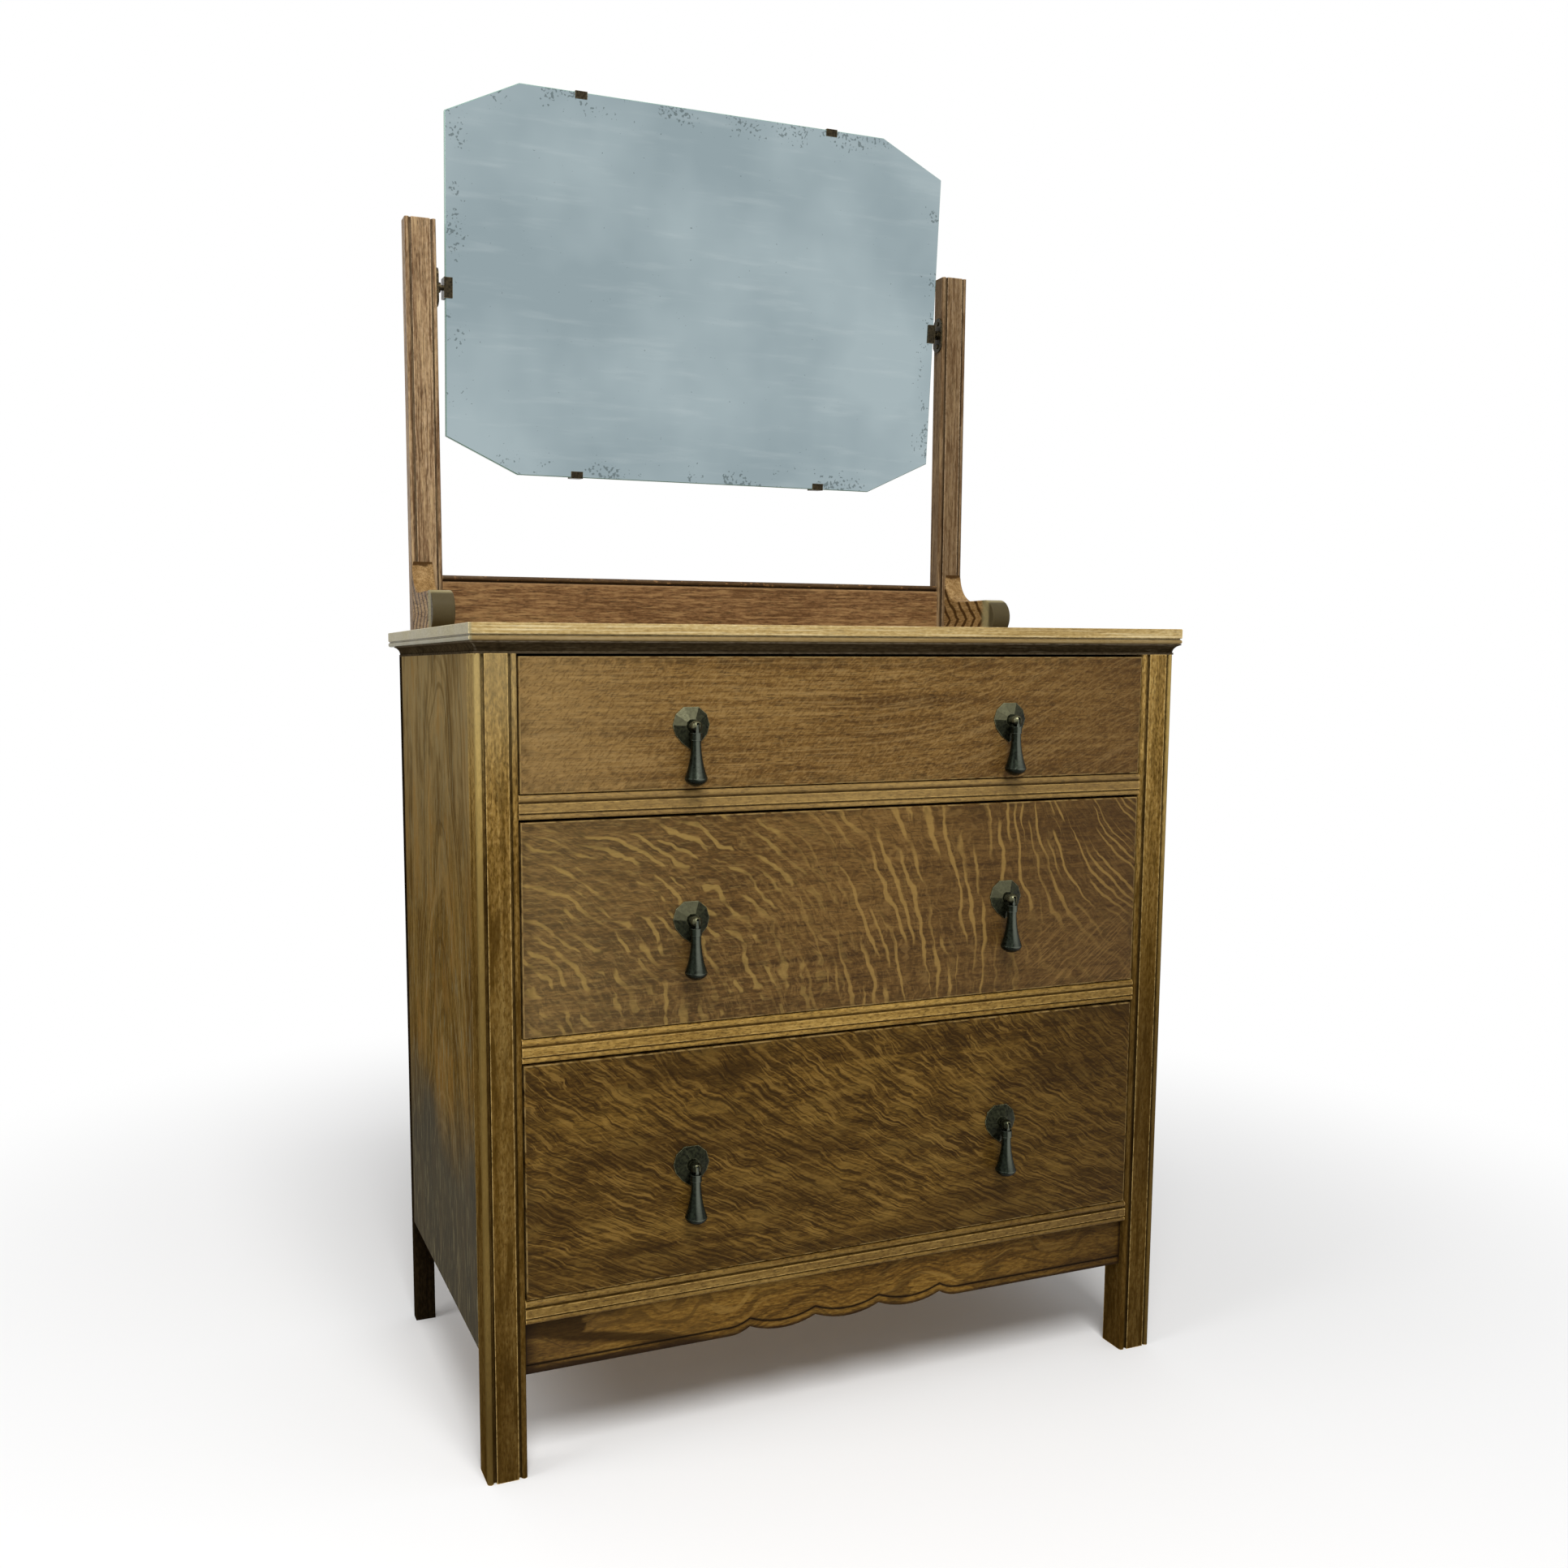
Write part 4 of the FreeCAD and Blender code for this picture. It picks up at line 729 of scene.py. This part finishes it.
def bracket_figure(tree, place, x, y, z):
    """Chevrons round a line 21 mm up, a faded front and, on its toe, the darkened wood."""
    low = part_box("bracket_foot_left")[0] * MM
    aside = add(tree, "Math", [z, low.z + 21.0], operation="SUBTRACT")
    aside = add(tree, "Math", [aside], operation="ABSOLUTE")
    sway = add(tree, "TexNoise", {"Vector": place, "Scale": 1 / 14.0, "Detail": 2.0})
    chevron = add(tree, "Math", [aside, -0.9, y], operation="MULTIPLY_ADD")
    chevron = add(tree, "Math", [sway, 9.0, chevron], operation="MULTIPLY_ADD")
    chevron = add(tree, "Math", [chevron, 2 * pi / CHEVRON], operation="MULTIPLY")
    rings = add(tree, "Math", [chevron], operation="SINE")
    return [(rings, 0.2, 0.8, 0.9, "38220a"), (y, low.y + 30.0, low.y + 20.0, 0.8, "8b8360"),
            (y, low.y + 14.0, low.y + 8.0, 0.85, "3a3223")]


bracket_oak = oak("plain_sawn_oak_brackets", "Y", ("745732", "8f7148", "a78a5e"), bracket_figure,
                  seed=29.0, shine=0.03, rub_and_highlight=0.0)
finish_with(bracket_oak, "bracket_foot_left", "bracket_foot_right")

# %% [markdown]
# ## Bare softwood
#
# Drawer boxes, runners and the back are pine, sawn and planed but never finished. With no varnish
# it is dull, yellowish and a little dusty, with wide soft rings and hardly any shine.

# %% Bare softwood
SOFT_RING = (420.0, 14.0)
# Pine fibres are finer than 0.1 mm. They are drawn 1.2 mm wide, or they wouldn't show.
FIBRE = (60.0, 1.2)


def softwood(name, axis, tones, seed):
    """Bare pine with its grain along one axis."""
    material, tree, shader, place = start(name)
    board = add(tree, "Mapping", {"Vector": place, "Location": (seed, seed, seed)})
    rings = streaks(tree, board, axis, *SOFT_RING, detail=3.0, warp=0.6)
    fibres = streaks(tree, board, axis, *FIBRE)
    mixed = add(tree, "Math", [rings, 3.0, fibres], operation="MULTIPLY_ADD")
    mixed = add(tree, "Math", [mixed, 0.25], operation="MULTIPLY")
    colour = add(tree, "ValToRGB", [mixed], stops=list(zip((0.36, 0.5, 0.64), tones)))
    grey_veil = add(tree, "TexNoise", {"Vector": place, "Scale": 1 / 90.0, "Detail": 3.0})
    colour = stained(tree, colour, [(grey_veil, 0.45, 0.7, 0.3, "6f6350")])
    dull = add(tree, "MapRange", [fibres, 0.3, 0.7, 0.62, 0.8], **SMOOTH)
    bump = add(tree, "Bump", {"Height": fibres, "Distance": 0.2 / MM, "Strength": 0.3})
    join(shader, {"Base Color": colour, "Roughness": dull, "Normal": bump,
                  "Specular IOR Level": 0.2})
    return material


print("softwood is ready; its rings are about", SOFT_RING[1], "mm apart")

# %% [markdown]
# ## Drawer boxes and back
#
# A joiner lays the grain along each board: front to back on drawer sides, across on drawer backs
# and bottoms, upright on the back. So the same pine is made three times, turned.

# %% Drawer boxes and back
sides = ("left", "right")
pine = ("8f7044", "ab8c5c", "c0a473")
pine_lengthwise = softwood("bare_pine_drawer_sides", "Y", pine, seed=3.0)
finish_with(pine_lengthwise, *(f"{n}_drawer_side_{side}" for n in drawers for side in sides),
            "drawer_runners_left", "drawer_runners_right")
pine_across = softwood("bare_pine_across", "X", pine, seed=13.0)
finish_with(pine_across, *(f"{n}_drawer_{part}" for n in drawers for part in ("back", "bottom")),
            "back_rail_upper", "back_rail_lower")
pine_upright = softwood("bare_pine_back_boards", "Z", ("6e5636", "86693f", "987b4e"), seed=31.0)
finish_with(pine_upright, "back_panel", "mirror_board")

# %% [markdown]
# ## Antiqued brass
#
# The handles were cast in brass and blackened in a chemical bath to a greenish brown. Fingers have
# since rubbed the ridges and the front of each pull, and both carry a painted highlight too. The
# Bevel node finds the ridges: it rounds the direction that the surface faces near an edge, so it
# differs from the true one only there. The front of a pull, the painted shade on its underside and
# the painted light on the upper facets of a plate are found by the direction that they face, in the
# object's own space, so the finish stays in place when a pull swings.

# %% Antiqued brass
DIMPLE = 2.5
# The direction of the window, up and to the left, from which the painted light on the plates comes.
TO_WINDOW = (-0.5, 0.0, 0.86)


def antiqued(name, dark, middle, bright, reach, front=0.0, grey_veil=0.0):
    """Blackened brass, rubbed and given a painted highlight on its front and where an edge is
    nearer than the reach.

    Painted light lies on what looks up to the window, more of it higher up, and painted shade on
    what looks down.
    """
    material, tree, shader, place = start(name)
    cast = add(tree, "TexNoise", {"Vector": place, "Scale": 1 / DIMPLE, "Detail": 4.0})
    patina = add(tree, "ValToRGB", [cast], stops=[(0.3, dark), (0.7, middle)])
    true = add(tree, "NewGeometry").outputs["Normal"]
    rounded = add(tree, "Bevel", {"Radius": reach / MM}, samples=6)
    same = add(tree, "VectorMath", [true, rounded], operation="DOT_PRODUCT")
    patchy_rub_and_highlight = add(tree, "MapRange", [cast, 0.4, 0.6, 0.4, 0.9], **SMOOTH)
    faces = add(tree, "TexCoord").outputs["Normal"]
    upwards = add(tree, "VectorMath", [faces, TO_WINDOW], operation="DOT_PRODUCT")
    height = add(tree, "SeparateXYZ", [place]).outputs["Z"]
    window_light = add(tree, "MapRange", [height, 300.0, 650.0, 0.0, grey_veil], **SMOOTH)
    faces = add(tree, "SeparateXYZ", [faces]).outputs
    # Painted highlight on the front, painted light towards the window, worn ridges with a painted
    # highlight, painted shade below.
    colour = stained(tree, patina, [
        (faces["Y"], -0.86, -1.0, front, bright), (upwards, 0.05, 0.3, window_light, bright),
        (same, 0.9995, 0.97, patchy_rub_and_highlight, bright), (faces["Z"], -0.1, -0.5, 0.7, dark)])
    gloss = add(tree, "MapRange", [cast, 0.3, 0.7, 0.26, 0.4], **SMOOTH)
    bump = add(tree, "Bump", {"Height": cast, "Distance": 0.2 / MM, "Strength": 0.2})
    join(shader, {"Base Color": colour, "Metallic": 0.75, "Roughness": gloss, "Normal": bump,
                  "Specular IOR Level": 0.2})
    return material


print("antiqued brass is ready; its cast skin has dimples", DIMPLE, "mm wide")

# %% [markdown]
# ## Handles and mirror fittings
#
# Plates and pulls share one finish, but only the front of a pull is held by fingers and given a
# painted highlight, and only the facets of a plate that look up towards the window get painted
# light, the higher ones most. The clips and pivots of the mirror are rolled brass strip that was
# never blackened on purpose: it has gone dull brown, with thinner edges to rub.

# %% Handles and mirror fittings
fixed = ("handle_plates", "pull_posts")
plate_brass = antiqued("antiqued_cast_brass_plates", "0b0c05", "2d2f1f", "93906f", reach=0.6,
                       grey_veil=0.32)
finish_with(plate_brass, *(f"{n}_{part}" for n in drawers for part in fixed))
pull_brass = antiqued("antiqued_cast_brass_pulls", "0b0e08", "21271d", "7e8376", reach=0.4,
                      front=0.45)
finish_with(pull_brass, *(f"{n}_pull_{side}" for n in drawers for side in sides))
fitting_brass = antiqued("dull_rolled_brass", "1f1b13", "3c3424", "8f7d52", reach=0.4)
finish_with(fitting_brass, "pivot_plate_left", "pivot_plate_right", "pivot_screws",
            "mirror_pivot_left", "mirror_pivot_right", "mirror_clips")

# %% [markdown]
# ## Silvered glass
#
# The mirror is plain glass, silvered on its back and painted over the silver, with a ground edge
# that looks green because light travels a long way through it. The silver has aged: it is grey, a
# little hazy, and dark specks have grown in from the edge. Its blue-grey tint is also a painted
# reflection, dimmer and bluer than the white studio gives. Each face is found by the direction that
# it looks in, in the object's own space, so the finish stays in place when the mirror swings.

# %% Where the glass is silvered and how it has aged
SPECKS_REACH = 40.0
WIPE_LENGTH, WIPE_WIDTH, WIPE_SLANT = 90.0, 22.0, 28.0
silver, tree, shader, place = start("aged_silvered_glass")
facing = add(tree, "SeparateXYZ", [add(tree, "TexCoord").outputs["Normal"]]).outputs["Y"]
haze = add(tree, "TexNoise", {"Vector": place, "Scale": 1 / 160.0, "Detail": 3.0})
specks = add(tree, "TexNoise", {"Vector": place, "Scale": 1 / 3.5, "Detail": 1.0})
colonies = add(tree, "TexNoise", {"Vector": place, "Scale": 1 / 38.0, "Detail": 2.0})
grown = add(tree, "MapRange", [colonies, 0.42, 0.62, 0.0, 0.26], **SMOOTH)
edge = rim(tree, place, "mirror_glass")
grown = add(tree, "MapRange", [edge, SPECKS_REACH, 2.0, 0.0, grown], **SMOOTH)
specks = add(tree, "Math", [specks, grown], operation="ADD")
wiped = add(tree, "Mapping", {"Vector": place, "Rotation": (0.0, radians(WIPE_SLANT), 0.0),
                              "Scale": (1 / WIPE_LENGTH, 1.0, 1 / WIPE_WIDTH)})
wiped = add(tree, "TexNoise", {"Vector": wiped, "Scale": 1.0, "Detail": 4.0})
print("specks grow in over", SPECKS_REACH, "mm; wiping marks are", WIPE_LENGTH, "mm long")

# %% [markdown]
# ## The faces of the glass
#
# A mirror is a metal to light, so the silvered face has a metallic of 1 and a very low roughness,
# while the painted back and the ground edge have a metallic of 0. Wiping marks are a little
# rougher, which shows as a soft veil in the reflection.

# %% The faces of the glass
# The blue-grey tint of the silver is partly a painted reflection.
aged = add(tree, "ValToRGB", [haze], stops=[(0.35, "93a3a8"), (0.65, "a6b5b9")])
aged = stained(tree, aged, [(wiped, 0.5, 0.8, 0.16, "cfd8d9"), (specks, 0.76, 0.84, 0.6, "4b5757")])
glass = stained(tree, linear("6f9484"), [(facing, 0.9, 0.97, 1.0, "54483c"),
                                         (facing, -0.9, -0.97, 1.0, aged)])
flat = add(tree, "MapRange", [facing, -0.9, -0.97], **SMOOTH)
gloss = add(tree, "MapRange", [wiped, 0.5, 0.75, 0.03, 0.12], **SMOOTH)
join(shader, {"Base Color": glass, "Metallic": flat, "Roughness": gloss})
finish_with(silver, "mirror_glass")

# %% [markdown]
# ## Floor
#
# A pale floor carries the shadow. Away from the chest it turns into plain white for rays that come
# from the camera, from a reflection or through glass, so that it has no visible end. A white
# backdrop sheet would do the same in a real studio, but its bend would show in a reflection.

# %% Floor
# The floor turns white between these distances from the middle, in millimetres.
FADE = (500.0, 1500.0)


def seen(tree):
    """1 for rays from the camera, from a reflection or through glass."""
    rays = add(tree, "LightPath").outputs
    direct = add(tree, "Math", [rays["Is Camera Ray"], rays["Is Glossy Ray"]], operation="MAXIMUM")
    return add(tree, "Math", [direct, rays["Is Transmission Ray"]], operation="MAXIMUM")


disc = bmesh.new()
bmesh.ops.create_circle(disc, cap_ends=True, segments=96, radius=9.0)
floor_mesh = bpy.data.meshes.new("studio_floor")
disc.to_mesh(floor_mesh)
disc.free()
floor = bpy.data.objects.new("studio_floor", floor_mesh)
bpy.context.scene.collection.objects.link(floor)
paint, tree, shader, place = start("matt_pale_floor_paint")
join(shader, {"Base Color": linear("f4f4f4"), "Roughness": 0.9, "Specular IOR Level": 0.1})
away = add(tree, "VectorMath", [place], operation="LENGTH")
far = add(tree, "MapRange", [away, *FADE, 0.0, seen(tree)], **SMOOTH)
glow = add(tree, "Emission", [(1, 1, 1, 1), 1.0])
join(tree.nodes["Material Output"], [add(tree, "MixShader", [far, shader, glow])])
floor_mesh.materials.append(paint)
print("floor", round(floor.dimensions.x), "m across, white from", FADE[1] / MM, "m outwards")

# %% [markdown]
# ## World and lamps
#
# The world is white for what is seen, and dimmer for the light that it gives, so that a colour
# comes out about as it is written. Two large soft lamps give the rest: the key stands high in
# front, where the mirror doesn't reflect it, and a weak one stands at the left. Neither is
# coloured, so the wood keeps its own colour.

# %% World and lamps
FILL = 0.4
world = bpy.data.worlds.new("white_studio")
bpy.context.scene.world = world
world.use_nodes = True
sky = world.node_tree.nodes["Background"]
strength = add(world.node_tree, "MapRange", [seen(world.node_tree), 0.0, 1.0, FILL, 1.0])
join(sky, {"Color": (1, 1, 1, 1), "Strength": strength})


def lamp(name, spot, aim, size, watts):
    """A square soft lamp at a spot, turned to its aim."""
    light = bpy.data.lights.new(name, "AREA")
    light.shape = "SQUARE"
    light.size = size
    light.energy = watts
    thing = bpy.data.objects.new(name, light)
    bpy.context.scene.collection.objects.link(thing)
    thing.location = spot
    thing.rotation_euler = (Vector(aim) - Vector(spot)).to_track_quat("-Z", "Y").to_euler()
    print(name, watts, "W at", spot)


chest_middle = (0.0, 0.0, 0.6)
lamp("key_lamp", (-0.5, -2.0, 3.0), chest_middle, size=1.4, watts=92.0)
lamp("side_lamp", (-2.6, -0.4, 2.4), chest_middle, size=1.4, watts=22.0)

# %% [markdown]
# ## Camera
#
# The camera was found from the straight edges of the chest: where it stands, how far it turns
# to the right, and how far it looks down. The shift is the small distance between the middle of
# the picture and the point that the lens looks at.

# %% Camera
# The side of the square picture and the point that the lens looks at, in pixels from top left.
SIDE = 1932
AIM_RIGHT, AIM_DOWN = 828.6, 1008.3
STANDS_AT = (-0.6486, -1.3861, 0.7507)
yaw, pitch, roll = radians(21.0), radians(-6.175), radians(-0.107)
ahead = Vector((sin(yaw) * cos(pitch), cos(yaw) * cos(pitch), sin(pitch)))
sideways = Vector((cos(yaw), -sin(yaw), 0.0))
upward = sideways.cross(ahead)
right = cos(roll) * sideways + sin(roll) * upward
top = cos(roll) * upward - sin(roll) * sideways
lens = bpy.data.cameras.new("camera")
lens.sensor_width = 36.0
lens.lens = FOCAL / SIDE * lens.sensor_width
lens.shift_x = (SIDE / 2 - AIM_RIGHT) / SIDE
lens.shift_y = (AIM_DOWN - SIDE / 2) / SIDE
camera = bpy.data.objects.new("camera", lens)
bpy.context.scene.collection.objects.link(camera)
turn = Matrix((right, top, -ahead)).transposed().to_4x4()
camera.matrix_world = Matrix.Translation(STANDS_AT) @ turn
bpy.context.scene.camera = camera
bpy.context.scene.view_settings.view_transform = "Standard"
print("lens", round(lens.lens, 2), "mm, shift", round(lens.shift_x, 4), round(lens.shift_y, 4))
